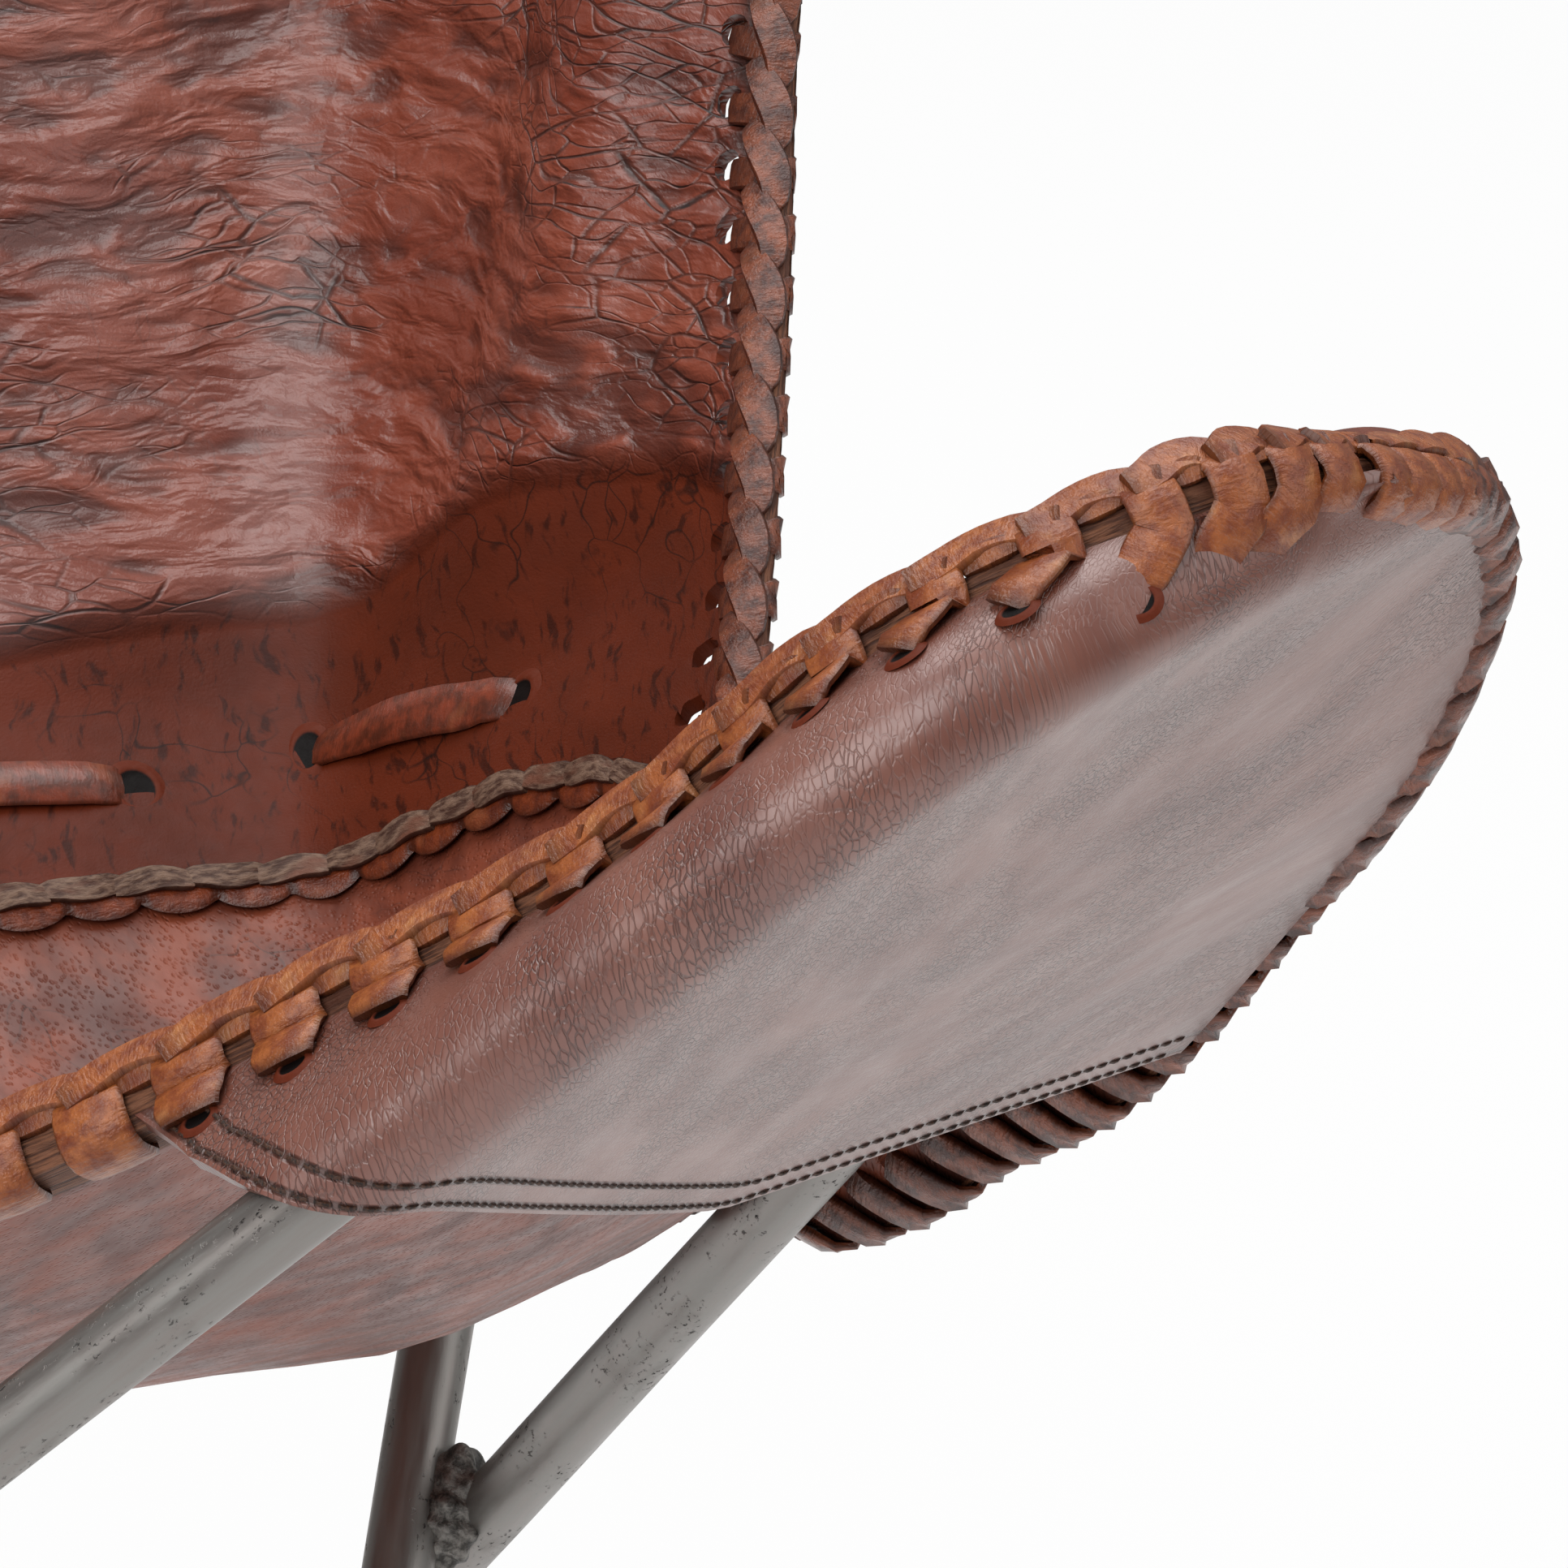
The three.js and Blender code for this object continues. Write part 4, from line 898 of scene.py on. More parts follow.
def dry_braid():
    # Dry, greyed raw lacing: dull, with pale crests and dark fibres.
    material, tree = new_material("dry_braid")
    spots = stretched(uv_spots(tree), (1, 0.3, 1))
    fibres = noise(warped(spots, 200, 0.001), 900, 5, 0.65)
    base = blend(ramp(fibres, 0.36, 0.64), paint("#43291e"), colour("braid"))
    base = tinted(base, ramp(noise(spots, 180, 3), 0.52, 0.68), "#6d4433")
    # painted shade along the sides of each lump, where it meets the leather and its neighbours
    base = tinted(base, ramp(stored(tree, "across"), 0.8, 1.0, 0, 0.8), "#2b1a13")
    return dress(material, base, 0.6, bumped(fibres, 0.0007), Specular_IOR_Level=0.4)


def waxed_thread():
    # Twisted waxed thread, nearly black, with a faint twist.
    material, tree = new_material("waxed_thread")
    twist = noise(uv_spots(tree), 1800, 3)
    base = blend(ramp(twist, 0.35, 0.65), paint("#1f120c"), paint("#4a2c1c"))
    return dress(material, base, 0.55, bumped(twist, 0.0003), Specular_IOR_Level=0.4)


def raw_steel():
    # Bare hot-rolled rod: dull grey, drawn lengthwise, with dark pits and scale in patches and brighter
    # rubbed streaks.
    material, tree = new_material("raw_steel_rod")
    spots = uv_spots(tree)
    streaks = noise(stretched(spots, (1, 0.12, 1)), 420, 4, 0.6)
    patches = noise(stretched(spots, (1, 0.4, 1)), 90, 4, 0.6)
    specks = noise(stretched(spots, (1, 0.55, 1)), 900, 4, 0.7)
    pits = times(ramp(specks, 0.57, 0.66), ramp(patches, 0.47, 0.6))
    base = blend(ramp(streaks, 0.35, 0.65), paint("#8b8581"), colour("steel"))
    base = tinted(base, ramp(patches, 0.52, 0.68, 0, 0.6), "#6f6964")
    base = tinted(base, pits, "#1e1b19")
    rough = plus(ramp(streaks, 0.3, 0.7, 0.34, 0.48), times(pits, 0.35))
    normal = bumped(sums("SUBTRACT", times(streaks, 0.25), pits), 0.00025)
    return dress(material, base, rough, normal, Metallic=between(pits, 0.85, 0.2), Specular_IOR_Level=0.5)


def weld_metal():
    # A hand-laid weld: overlapping dull ripples, darker than the rod, with soot and small blobs.
    material, tree = new_material("weld_metal")
    scale = noise(object_spots(tree), 420, 5, 0.65)
    base = blend(ramp(scale, 0.36, 0.64), paint("#3d3a37"), paint("#84807b"))
    return dress(material, base, 0.5, bumped(scale, 0.0007), Metallic=0.75)


def hole_leather():
    # The rim is the same waxed hide, stretched and worn pale; inside, it is painted near-black as the shade of the
    # hole.
    material, tree = new_material("lace_hole_leather")
    worn = noise(uv_spots(tree), 500, 3)
    base = tinted(colour("burnished"), ramp(worn, 0.4, 0.65), "#5e2a1b")
    # painted shade: near-black in the middle of a well, standing for the hole's dark inside
    base = tinted(base, ramp(stored(tree, "well"), 0.98, 0.86), "#0c0706")
    return dress(material, base, 0.62, bumped(worn, 0.0002), Specular_IOR_Level=0.12)


def rays(tree):
    """What lets the camera see a plain white studio: the light path, and 1 where it is seen itself."""
    light = add(tree, "ShaderNodeLightPath").outputs
    return light, sums("MAXIMUM", light["Is Camera Ray"], light["Is Transmission Ray"])


def painted_floor():
    # A seamless white studio sweep: the camera sees it paper white, and shiny things see it white near the
    # chair and dim further off.
    material, tree = new_material("studio_floor")
    spots = object_spots(tree)
    tone = tinted(colour("floor"), ramp(noise(spots, 1.5, 2), 0.3, 0.7), "#f1f1f1")
    dress(material, tone, 0.9, None, Specular_IOR_Level=0.1)
    light, seen = rays(tree)
    far = out(add(tree, "ShaderNodeVectorMath", {0: spots}, operation="LENGTH"), "Value")
    mirrored_white = blend(ramp(far, 0.9, 2.1, 1.0, 0.12), BLACK, WHITE)
    glow = add(tree, "ShaderNodeEmission", {"Color": blend(seen, mirrored_white, WHITE)}, Strength=1.0)
    share = times(sums("MAXIMUM", seen, light["Is Glossy Ray"]), 0.92)
    painted = tree.nodes["Principled BSDF"].outputs[0]
    mixed = add(tree, "ShaderNodeMixShader", {0: share, 1: painted, 2: out(glow)})
    fill(tree.nodes["Material Output"].inputs["Surface"], out(mixed))
    return material


# The frame: eight straight rods, eight bends and four welds.
SPRUNG = ROD_RADIUS + 0.5  # from the middle of a crossing to each rod's middle


class Crossing:
    """Where two rods pass: their nearest points, sprung apart by one rod's width and a hair."""

    def __init__(self, start_a, end_a, start_b, end_b):
        a, b, gap = end_a - start_a, end_b - start_b, start_a - start_b
        aa, bb, ab = a @ a, b @ b, a @ b
        below = aa * bb - ab * ab
        on_a = start_a + a * (ab * (b @ gap) - bb * (a @ gap)) / below
        on_b = start_b + b * (aa * (b @ gap) - ab * (a @ gap)) / below
        self.apart = unit(np.cross(a, b))
        if (on_b - on_a) @ self.apart < 0:
            self.apart = -self.apart
        self.middle = (on_a + on_b) / 2
        self.lines = [unit(a), unit(b)]
        self.unsprung = [on_a, on_b]
        self.sprung = [self.middle - self.apart * SPRUNG, self.middle + self.apart * SPRUNG]


CROSSINGS = {
    "front": Crossing(FRONT_HORN, mirrored(FRONT_FOOT), mirrored(FRONT_HORN), FRONT_FOOT),
    "back": Crossing(BACK_HORN, mirrored(BACK_FOOT), mirrored(BACK_HORN), BACK_FOOT),
    "right": Crossing(FRONT_HORN, BACK_FOOT, BACK_HORN, FRONT_FOOT),
    "left": Crossing(mirrored(FRONT_HORN), mirrored(BACK_FOOT), mirrored(BACK_HORN), mirrored(FRONT_FOOT)),
}
RODS = {
    "front_rod_right": (FRONT.end(-1), "front", 0, mirrored(FRONT_SOLE.end(-1))),
    "front_rod_left": (mirrored(FRONT.end(-1)), "front", 1, FRONT_SOLE.end(-1)),
    "back_rod_right": (BACK.end(1), "back", 0, mirrored(BACK_SOLE.end(1))),
    "back_rod_left": (mirrored(BACK.end(1)), "back", 1, BACK_SOLE.end(1)),
    "right_rod_front_horn": (FRONT.end(1), "right", 0, BACK_SOLE.end(-1)),
    "right_rod_back_horn": (BACK.end(-1), "right", 1, FRONT_SOLE.end(1)),
    "left_rod_front_horn": (mirrored(FRONT.end(1)), "left", 0, mirrored(BACK_SOLE.end(-1))),
    "left_rod_back_horn": (mirrored(BACK.end(-1)), "left", 1, mirrored(FRONT_SOLE.end(1))),
}
BENDS = {"front_horn_bend": FRONT, "back_horn_bend": BACK, "front_foot_bend": FRONT_SOLE, "back_foot_bend": BACK_SOLE}


def make_rod(name, steel):
    start, cross_name, which, end = RODS[name]
    cross = CROSSINGS[cross_name]
    along = unit(end - start)
    middle = cross.unsprung[which]
    spring = cross.sprung[which] - middle
    near = (middle - start) @ along
    whole = np.linalg.norm(end - start)
    steps = np.unique(np.r_[np.linspace(0, whole, 40), near + SPRING_REACH * np.linspace(-1, 1, 25)])
    centres = start + along * steps[:, None] + spring * (1 - smooth(np.abs(steps - near) / SPRING_REACH))[:, None]
    side = unit(np.cross(along, cross.apart))
    top = np.cross(side, along)
    count = len(centres)
    rod = tube("rod_" + name, centres, np.tile(side, (count, 1)), np.tile(top, (count, 1)), ROD_RADIUS,
               settings().rod_sides)
    rounded(rod, 40)
    done(rod, steel, name, slot="steel")


def make_bend(name, bend, left, steel):
    distances = np.linspace(-1, 1, 41) * bend.half_length
    centres, side = bend.point(distances), bend.out(distances)
    top = np.tile(bend.normal, (len(distances), 1))
    if left:
        centres, side, top = mirrored(centres), mirrored(side), mirrored(top)
    end = "_left" if left else "_right"
    piece = tube("bend_" + name + end, centres, side, top, ROD_RADIUS, settings().rod_sides)
    spots = spots_of(piece)
    spots[:, 2] = np.maximum(spots[:, 2], 0)
    put(piece, spots)
    rounded(piece, 40)
    done(piece, steel, name + end, slot="steel")


def make_weld(name, cross, metal):
    """A hand-laid lump of weld round a crossing: overlapping ripples on an egg."""
    bpy.ops.object.select_all(action="DESELECT")
    bpy.ops.mesh.primitive_ico_sphere_add(subdivisions=5, radius=1, location=(0, 0, 0))
    lump = bpy.context.active_object
    lump.name = lump.data.name = "weld_" + name
    spots = spots_of(lump) * MM
    across = unit(cross.lines[0] + cross.lines[1])
    side = unit(np.cross(cross.apart, across))
    ripples = 0.05 * np.sin(17 * spots[:, 0] + 3 * spots[:, 1] ** 2) + 0.09 * np.sin(5 * spots[:, 1] + 4 * spots[:, 2])
    blobs = 0.1 * np.sin(7 * spots[:, 0] + 1.3) * np.sin(6 * spots[:, 1] + 0.4) * np.sin(5 * spots[:, 2])
    spots = spots * (1 + ripples + blobs)[:, None] * spot(11.5, 9, 6.2)
    put(lump, cross.middle + spots[:, :1] * across + spots[:, 1:2] * side + spots[:, 2:] * cross.apart)
    face_out(lump)
    rounded(lump)
    done(lump, metal, name + "_crossing_weld", slot="weld")


# The leather. Holes are cut before a sheet gets its thickness. Both numbers are in holes' radii: how far round
# a hole its rim is sought, and which vertices of the rim are moved onto the oval.
REACH_OF_HOLE = 1.6
ROUNDED = (0.2, 1.75)


def punch(piece, centres, long_way, short_way, half_long, half_short):
    """Cuts oval holes through a sheet at points on it, and rounds their rims."""
    shape = bmesh.new()
    shape.from_mesh(piece.data)
    shape.faces.ensure_lookup_table()
    tree = KDTree(len(shape.faces))
    for face in shape.faces:
        tree.insert(face.calc_center_median(), face.index)
    tree.balance()
    half_long, half_short = half_long * MM, half_short * MM
    doomed, rims = set(), []
    for centre, long_at, short_at in zip(np.asarray(centres) * MM, long_way, short_way):
        verts = set()
        for middle, index, _ in tree.find_range(tuple(centre), half_long * REACH_OF_HOLE):
            away = np.array(middle) - centre
            verts.update(shape.faces[index].verts)
            if (away @ long_at / half_long) ** 2 + (away @ short_at / half_short) ** 2 < 1.0:
                doomed.add(shape.faces[index])
        rims.append((centre, long_at, short_at, verts))
    bmesh.ops.delete(shape, geom=list(doomed), context="FACES")
    for centre, long_at, short_at, verts in rims:
        for vert in verts:
            if not vert.is_valid or not any(e.is_boundary for e in vert.link_edges):
                continue
            away = np.array(vert.co) - centre
            x, y = away @ long_at / half_long, away @ short_at / half_short
            far = math.hypot(x, y)
            if ROUNDED[0] < far < ROUNDED[1]:
                shift = (x * (1 / far - 1)) * half_long * long_at + (y * (1 / far - 1)) * half_short * short_at
                vert.co = np.array(vert.co) + shift
    shape.to_mesh(piece.data)
    shape.free()


def insets_for(length, fine=24, fine_step=1.2, middle=50.4, middle_step=2.2, rest=26):
    """Distances from an edge to the sheet's middle: close together near the edge."""
    near = np.arange(0, fine + 1e-6, fine_step)
    wide = np.arange(fine + middle_step, middle + 1e-6, middle_step)
    share = np.linspace(0, 1, rest + 1)[1:] ** 1.25
    return np.r_[near, wide, middle + (length - middle) * share]


def panel_places(along_rows, inner_along):
    """For each row of a panel, the across shares whose distances from the side edge are spaced finely near
    it; along_rows are shares from the row's start to its end at every across."""
    samples = np.linspace(0, 1, 260)
    across, distances = [], []
    for share in along_rows:
        line = sling_point(samples, inner_along(samples, share))
        length = lengths_along(line)
        wanted = length[-1] - insets_for(length[-1])
        across.append(np.interp(wanted[::-1], length, samples))
        distances.append(wanted[::-1])
    return np.array(across), np.array(distances)


# The rubbed band over the seam: its height in the middle, and how much higher it is at the sides
BAND_HEIGHT = 26
BAND_FLARE = 60


def sew_panel(name, rows, inner_along, surface):
    """One panel of the sling as a sheet: its grid, map, notes and real size."""
    across, reach = panel_places(rows, inner_along)
    across = np.hstack([-across[:, :0:-1], across])
    reach = np.hstack([-reach[:, :0:-1], reach])
    piece, column, row = new_grid(name, across.shape[1] - 1, len(rows) - 1)
    along = inner_along(np.abs(across), rows[:, None])
    points = surface(across, along)
    put(piece, points[row, column])
    down = lengths_along(points)
    lay_uv(piece, reach[row, column], down[row, column])
    note(piece, "from_edge", (reach[:, -1:] - np.abs(reach))[row, column] * MM)
    band_top = BAND_HEIGHT + BAND_FLARE * np.abs(across)
    note(piece, "over_band", (down - band_top)[row, column] * MM)
    flat = (2 * reach[:, -1].max(), down[-1].max())
    return piece, (flat, area_of(points))


def seat_along(across, share):
    return share * seam_share(across)


def back_along(across, share):
    start = seam_share(across) - LAP_SHARE
    return start + share * (1 - start)


def back_surface(across, along):
    past = (along - seam_share(across)) / LAP_SHARE
    raised = (LEATHER + 0.3) * (1 - smooth(past / 4))
    return sling_point(across, along) + sling_normal(across, along) * raised[..., None]


HOLE_PHASE = 3.0
SEAM_ON_EDGE = float(seam_share(1)) * SIDE_EDGE.length
TIP_MARGIN = 30  # no side hole lies nearer to a horn's tip
BACK_HOLES_FURTHER_IN = 11.4


def punch_sides(piece, first, last, inset):
    """Punches the holes of both side edges between two distances along them."""
    pitch = size("side_pitch")
    at = np.arange(math.ceil((first - HOLE_PHASE) / pitch), (last - HOLE_PHASE) / pitch) * pitch + HOLE_PHASE
    lines = [sling_point(np.linspace(1, 0.88, 120), share) for share in at / SIDE_EDGE.length]
    centres = np.array([points_at(inset, lengths_along(line), line) for line in lines])
    _, tangent, outward, _ = SIDE_COURSE.at(at)
    for flip in (1, -1):
        turn = spot(flip, 1, 1)
        punch(piece, centres * turn, tangent * turn, outward * turn, size("hole_length") / 2, size("hole_width") / 2)


def finish_sheet(piece, material, node, slot):
    """Gives a sheet its thickness and its material, hides the part that it replaces and hangs it from the root."""
    finish_with(piece, "SOLIDIFY", thickness=settings().leather, offset=0)
    rounded(piece, 50)
    done(piece, material, node, slot=slot)


def make_seat():
    rows = np.r_[np.linspace(0, 0.1, 30)[:-1], np.linspace(0.1, 1, 215)]
    piece, measures = sew_panel("seat_sling", rows, seat_along, sling_point)
    punch_sides(piece, TIP_MARGIN, SEAM_ON_EDGE - 20, size("hole_inset"))
    finish_sheet(piece, seat_leather(), "seat_panel", "leather")


def make_back():
    rows = np.r_[np.linspace(0, 0.93, 345)[:-1], np.linspace(0.93, 1, 24)]
    piece, measures = sew_panel("back_sling", rows, back_along, back_surface)
    last = SIDE_EDGE.length - TIP_MARGIN
    punch_sides(piece, SEAM_ON_EDGE + 14, last, size("hole_inset") + BACK_HOLES_FURTHER_IN)
    finish_sheet(piece, back_leather(), "back_panel", "leather")


# The pockets. In a slice square to the horn's axis a pocket runs like a taut string from one laced edge,
# round the outside of both rods, to the other laced edge.
def hull(points):
    points = sorted(map(tuple, points))

    def chain(ordered):
        kept = []
        for p in ordered:
            while len(kept) > 1:
                (ax, ay), (bx, by) = kept[-2], kept[-1]
                if (bx - ax) * (p[1] - ay) - (by - ay) * (p[0] - ax) > 0:
                    break
                kept.pop()
            kept.append(p)
        return kept[:-1]

    return np.array(chain(points) + chain(points[::-1]))


def rod_outline(bend, depth):
    end = bend.end(1) - bend.centre
    end_depth = bend.radius - end @ bend.outward
    slant = -(bend.b @ bend.outward)
    angle = np.linspace(0, 2 * math.pi, 73)[:-1]
    outward, y = WRAP_RADIUS * np.cos(angle), WRAP_RADIUS * np.sin(angle)
    if depth < end_depth:
        x = np.sqrt(np.maximum(0, (bend.radius + outward) ** 2 - (bend.radius - depth) ** 2))
    else:
        x = end @ bend.along + ((depth - end_depth) * (bend.b @ bend.along) + outward) / slant
    kept = x > 0
    return np.vstack([np.stack([x[kept], y[kept]], -1), np.stack([-x[kept], y[kept]], -1)])


def edge_at_depths(bend, course, depths, from_end):
    """Distances along a laced edge at which it is that deep inside the horn."""
    count = 900
    distances = np.linspace(0, 0.5, count) * course.length
    if from_end:
        distances = course.length - distances
    spots_at = course.at(distances)[0]
    deep = np.maximum.accumulate(-(spots_at - bend.point(0)) @ bend.outward)
    return np.interp(depths, deep, distances)


POCKET_GAP = 0.25  # between a pocket's edge and the panel that it is laced to
# Distances of a pocket's first columns from its laced edge, and the width under which they move closer
LACED_COLUMNS = np.array([0, 1.3, 2.6, 3.9, 5.2, 6.4, 7.6, 8.8, 10.0, 11.2, 12.4, 13.7, 15.2])
NARROW_POCKET = 45
SETTLING_ROUNDS = 14  # in which a pocket's grid is relaxed


def pocket_surface(bend, depths, course_a, end_a, course_b, end_b):
    apex = bend.point(0)
    sunk = -(LEATHER + POCKET_GAP)
    ends = [course.place(edge_at_depths(bend, course, depths, end), np.zeros(len(depths)), np.full(len(depths), sunk))
            for course, end in ((course_a, end_a), (course_b, end_b))]
    rows, reaches = [], []
    for depth, start, stop in zip(depths, *ends):
        flat = [np.array([(p - apex) @ bend.along, (p - apex) @ bend.normal]) for p in (start, stop)]
        outline = rod_outline(bend, depth)
        around = hull(np.vstack([flat, outline]))
        first, last = [np.linalg.norm(around - p, axis=1).argmin() for p in flat]
        chain = around[(first + np.arange((last - first) % len(around) + 1)) % len(around)]
        chain = np.vstack([flat[0], chain[1:-1], flat[1]]) if len(chain) > 2 else np.array(flat)
        length = lengths_along(chain)
        whole = length[-1]
        near = LACED_COLUMNS * min(1, whole / NARROW_POCKET)
        spread = max([0, *(outline[:, 0] - WRAP_RADIUS)])
        samples = np.linspace(0, 1, 200) * whole
        line = points_at(samples, length, chain)
        under = [samples[np.linalg.norm(line - np.array([side * spread, -WRAP_RADIUS]), axis=1).argmin()]
                 for side in (-1, 1)]
        room = whole - 2 * near[-1]
        low = near[-1] + room * np.clip((under[0] - near[-1]) / room, 0.12, 0.45)
        high = near[-1] + room * np.clip((under[1] - near[-1]) / room, 0.55, 0.88)
        stops = np.r_[near, np.linspace(near[-1], low, 17)[1:], np.linspace(low, high, 31)[1:],
                      np.linspace(high, whole - near[-1], 17)[1:], whole - near[-2::-1]]
        flat_row = points_at(stops, length, chain)
        rows.append(apex - bend.outward * depth + flat_row[:, :1] * bend.along + flat_row[:, 1:] * bend.normal)
        reaches.append(stops)
    points, reach = np.array(rows), np.array(reaches)
    kept = points[:, [0, -1]].copy()
    for _ in range(SETTLING_ROUNDS):
        inner = (points[1:-1, :-2] + points[1:-1, 2:] + points[:-2, 1:-1] + points[2:, 1:-1]) / 4
        points[1:-1, 1:-1] += (inner - points[1:-1, 1:-1]) * 0.5
        middle = (points[-1, :-2] + points[-1, 2:]) / 2
        points[-1, 1:-1] += (middle - points[-1, 1:-1]) * 0.5
    points[:, [0, -1]] = kept
    return points, reach


def panel_samples():
    steps = np.linspace(0, 1, 210)
    across, along = np.meshgrid(steps, steps)
    return sling_point(across, along).reshape(-1, 3), sling_normal(across, along).reshape(-1, 3)


def clear_of_panel(points, samples):
    """Pushes a pocket's points to below the panel that they lie against."""
    spots_at, normals = samples
    tree = KDTree(len(spots_at))
    for index, p in enumerate(spots_at):
        tree.insert(p, index)
    tree.balance()
    flat = points.reshape(-1, 3).copy()
    nearest = np.array([tree.find(p)[1] for p in flat])
    above = dot(flat - spots_at[nearest], normals[nearest]) + LEATHER + POCKET_GAP
    return (flat - normals[nearest] * np.maximum(above, 0)[:, None]).reshape(points.shape)


def clear_of_rods(points, bend):
    """Keeps a pocket's leather outside the rods that it wraps."""
    reach = ROD_RADIUS + LEATHER / 2 + 0.2
    side, up, outward = bend.place(points)
    far = np.hypot(up, outward)
    scale = np.maximum(reach / np.maximum(far, 1e-6), 1) - 1
    flat = points - bend.centre - up[..., None] * bend.normal
    ends = np.where((side > 0)[..., None], bend.end(1), bend.end(-1)) - bend.centre
    legs = np.where((side > 0)[..., None], bend.b, bend.a)
    past = dot(flat - ends, legs)
    way = np.where((past > 0)[..., None], unit(ends), unit(flat))
    return points + (way * outward[..., None] + bend.normal * up[..., None]) * scale[..., None]


# Where along a mouth it is cut shallowest, how far it rises to there and falls off behind, as shares of its
# width, and how round that place is
MOUTH_TOP, MOUTH_RISE, MOUTH_FALL, MOUTH_ROUND = 0.18, 0.19, 0.39, 0.12


def mouth_depth(depth, share, dip):
    """How deep a pocket reaches: its mouth is cut shallower beside the front edge."""
    away = (share - MOUTH_TOP) / np.where(share < MOUTH_TOP, -MOUTH_RISE, MOUTH_FALL)
    return depth - dip * np.clip(1 + MOUTH_ROUND - np.hypot(away, MOUTH_ROUND), 0, 1)


POCKET_ROWS = 112


def sew_pocket(name, bend, depth, dip, course_a, end_a, course_b, end_b, samples):
    tip = -0.93 * HEM_REACH
    shares = np.linspace(0, 1, POCKET_ROWS) ** 1.12
    depths = tip + (depth - tip) * shares
    points, reach = pocket_surface(bend, depths, course_a, end_a, course_b, end_b)
    points = clear_of_rods(clear_of_panel(points, samples), bend)
    mouth = mouth_depth(depth, reach[-1] / reach[-1, -1], dip)
    for k in range(points.shape[1]):
        wanted = tip + (mouth[k] - tip) * shares
        points[:, k] = points_at(wanted, depths, points[:, k])
        reach[:, k] = np.interp(wanted, depths, reach[:, k])
    piece, column, row = new_grid(name, points.shape[1] - 1, len(depths) - 1)
    put(piece, points[row, column])
    down = lengths_along(points)
    lay_uv(piece, (reach - reach[:, -1:] / 2)[row, column], down[row, column])
    note(piece, "from_edge", np.minimum(reach, reach[:, -1:] - reach)[row, column] * MM)
    note(piece, "from_mouth", (down[-1:] - down)[row, column] * MM)
    flat = (reach[:, -1].max(), down[-1].max())
    return piece, points, (flat, area_of(points))


class PocketFace:
    """A pocket's outer face beside the front or top edge, where the outer ends of the straps lie."""

    LEANING_COLUMN = 5  # the pocket's lean is measured from its edge to this column
    EVENED = 9  # rows on both sides over which the lean is evened out
    MARGINS = (6, 26)  # at the pocket's mouth and at the horn's tip, in millimetres

    def __init__(self, points, course, at_end):
        self.course = course
        rows = points[:, ::-1] if at_end else points
        nearest = np.linalg.norm(course.spots[None] - rows[:, :1], axis=2).argmin(axis=1)
        order = np.argsort(nearest, kind="stable")
        self.distances = course.at_length[nearest][order]
        away = rows[order, self.LEANING_COLUMN] - rows[order, 0]
        _, _, outward, up = course.at(self.distances)
        lean = np.unwrap(np.arctan2(dot(away, up), dot(away, outward)))
        evened = 2 * self.EVENED + 1
        self.lean = np.convolve(np.pad(lean, self.EVENED, mode="edge"), np.full(evened, 1 / evened), mode="valid")

    def reaches(self, distance):
        return self.distances[0] + self.MARGINS[0] < distance < self.course.length - self.MARGINS[1]

    def at(self, distance, reach, lean_at=None):
        """The middle of the pocket's leather, its outer normal and the edge's direction."""
        lean = np.interp(distance if lean_at is None else lean_at, self.distances, self.lean)
        _, tangent, outward, up = self.course.at(distance)
        middle = self.course.place(distance, 0, -LEATHER - POCKET_GAP)
        middle = middle + (outward * math.cos(lean) + up * math.sin(lean)) * reach
        return middle, up * math.cos(lean) - outward * math.sin(lean), tangent


RIM_PHASE = 8.5
RIM_SKEW = 9.5
CLOSER_AT_TIP = 0.44


def rim_skew(course, distance):
    """How far a strap of the front or top edge leans away from the horn's tip, in millimetres."""
    return RIM_SKEW * rising(distance, course.length - 185, 170)


def rim_places(course):
    """Where the straps of a front or top edge cross it: wide apart, then close together round the tip."""
    places = [RIM_PHASE]
    while places[-1] < course.length - 1:
        near = rising(places[-1], course.length - 72, 50)
        places.append(places[-1] + size("rim_pitch") * (1 - CLOSER_AT_TIP * near))
    return np.array(places[:-1])


FRONT_POCKET_DEPTH, FRONT_MOUTH_DIP, BACK_POCKET_DEPTH = 165, 43, 185


def make_pockets():
    leather = pocket_leather()
    samples = panel_samples()
    sewn = []
    plans = [
        ("front", FRONT, FRONT_POCKET_DEPTH, FRONT_MOUTH_DIP, FRONT_COURSE, True, SIDE_COURSE, False),
        ("back", BACK, BACK_POCKET_DEPTH, 0, SIDE_COURSE, True, TOP_COURSE, True),
    ]
    for name, bend, depth, dip, *edges in plans:
        piece, points, measures = sew_pocket(name + "_pocket_sheet_right", bend, depth, dip, *edges, samples)
        left = twin(piece, name + "_pocket_sheet_left")
        for side, sheet in (("right", piece), ("left", left)):
            finish_sheet(sheet, leather, name + "_pocket_" + side, "pocket_leather")
        sewn.append((name, bend, points))
    return sewn


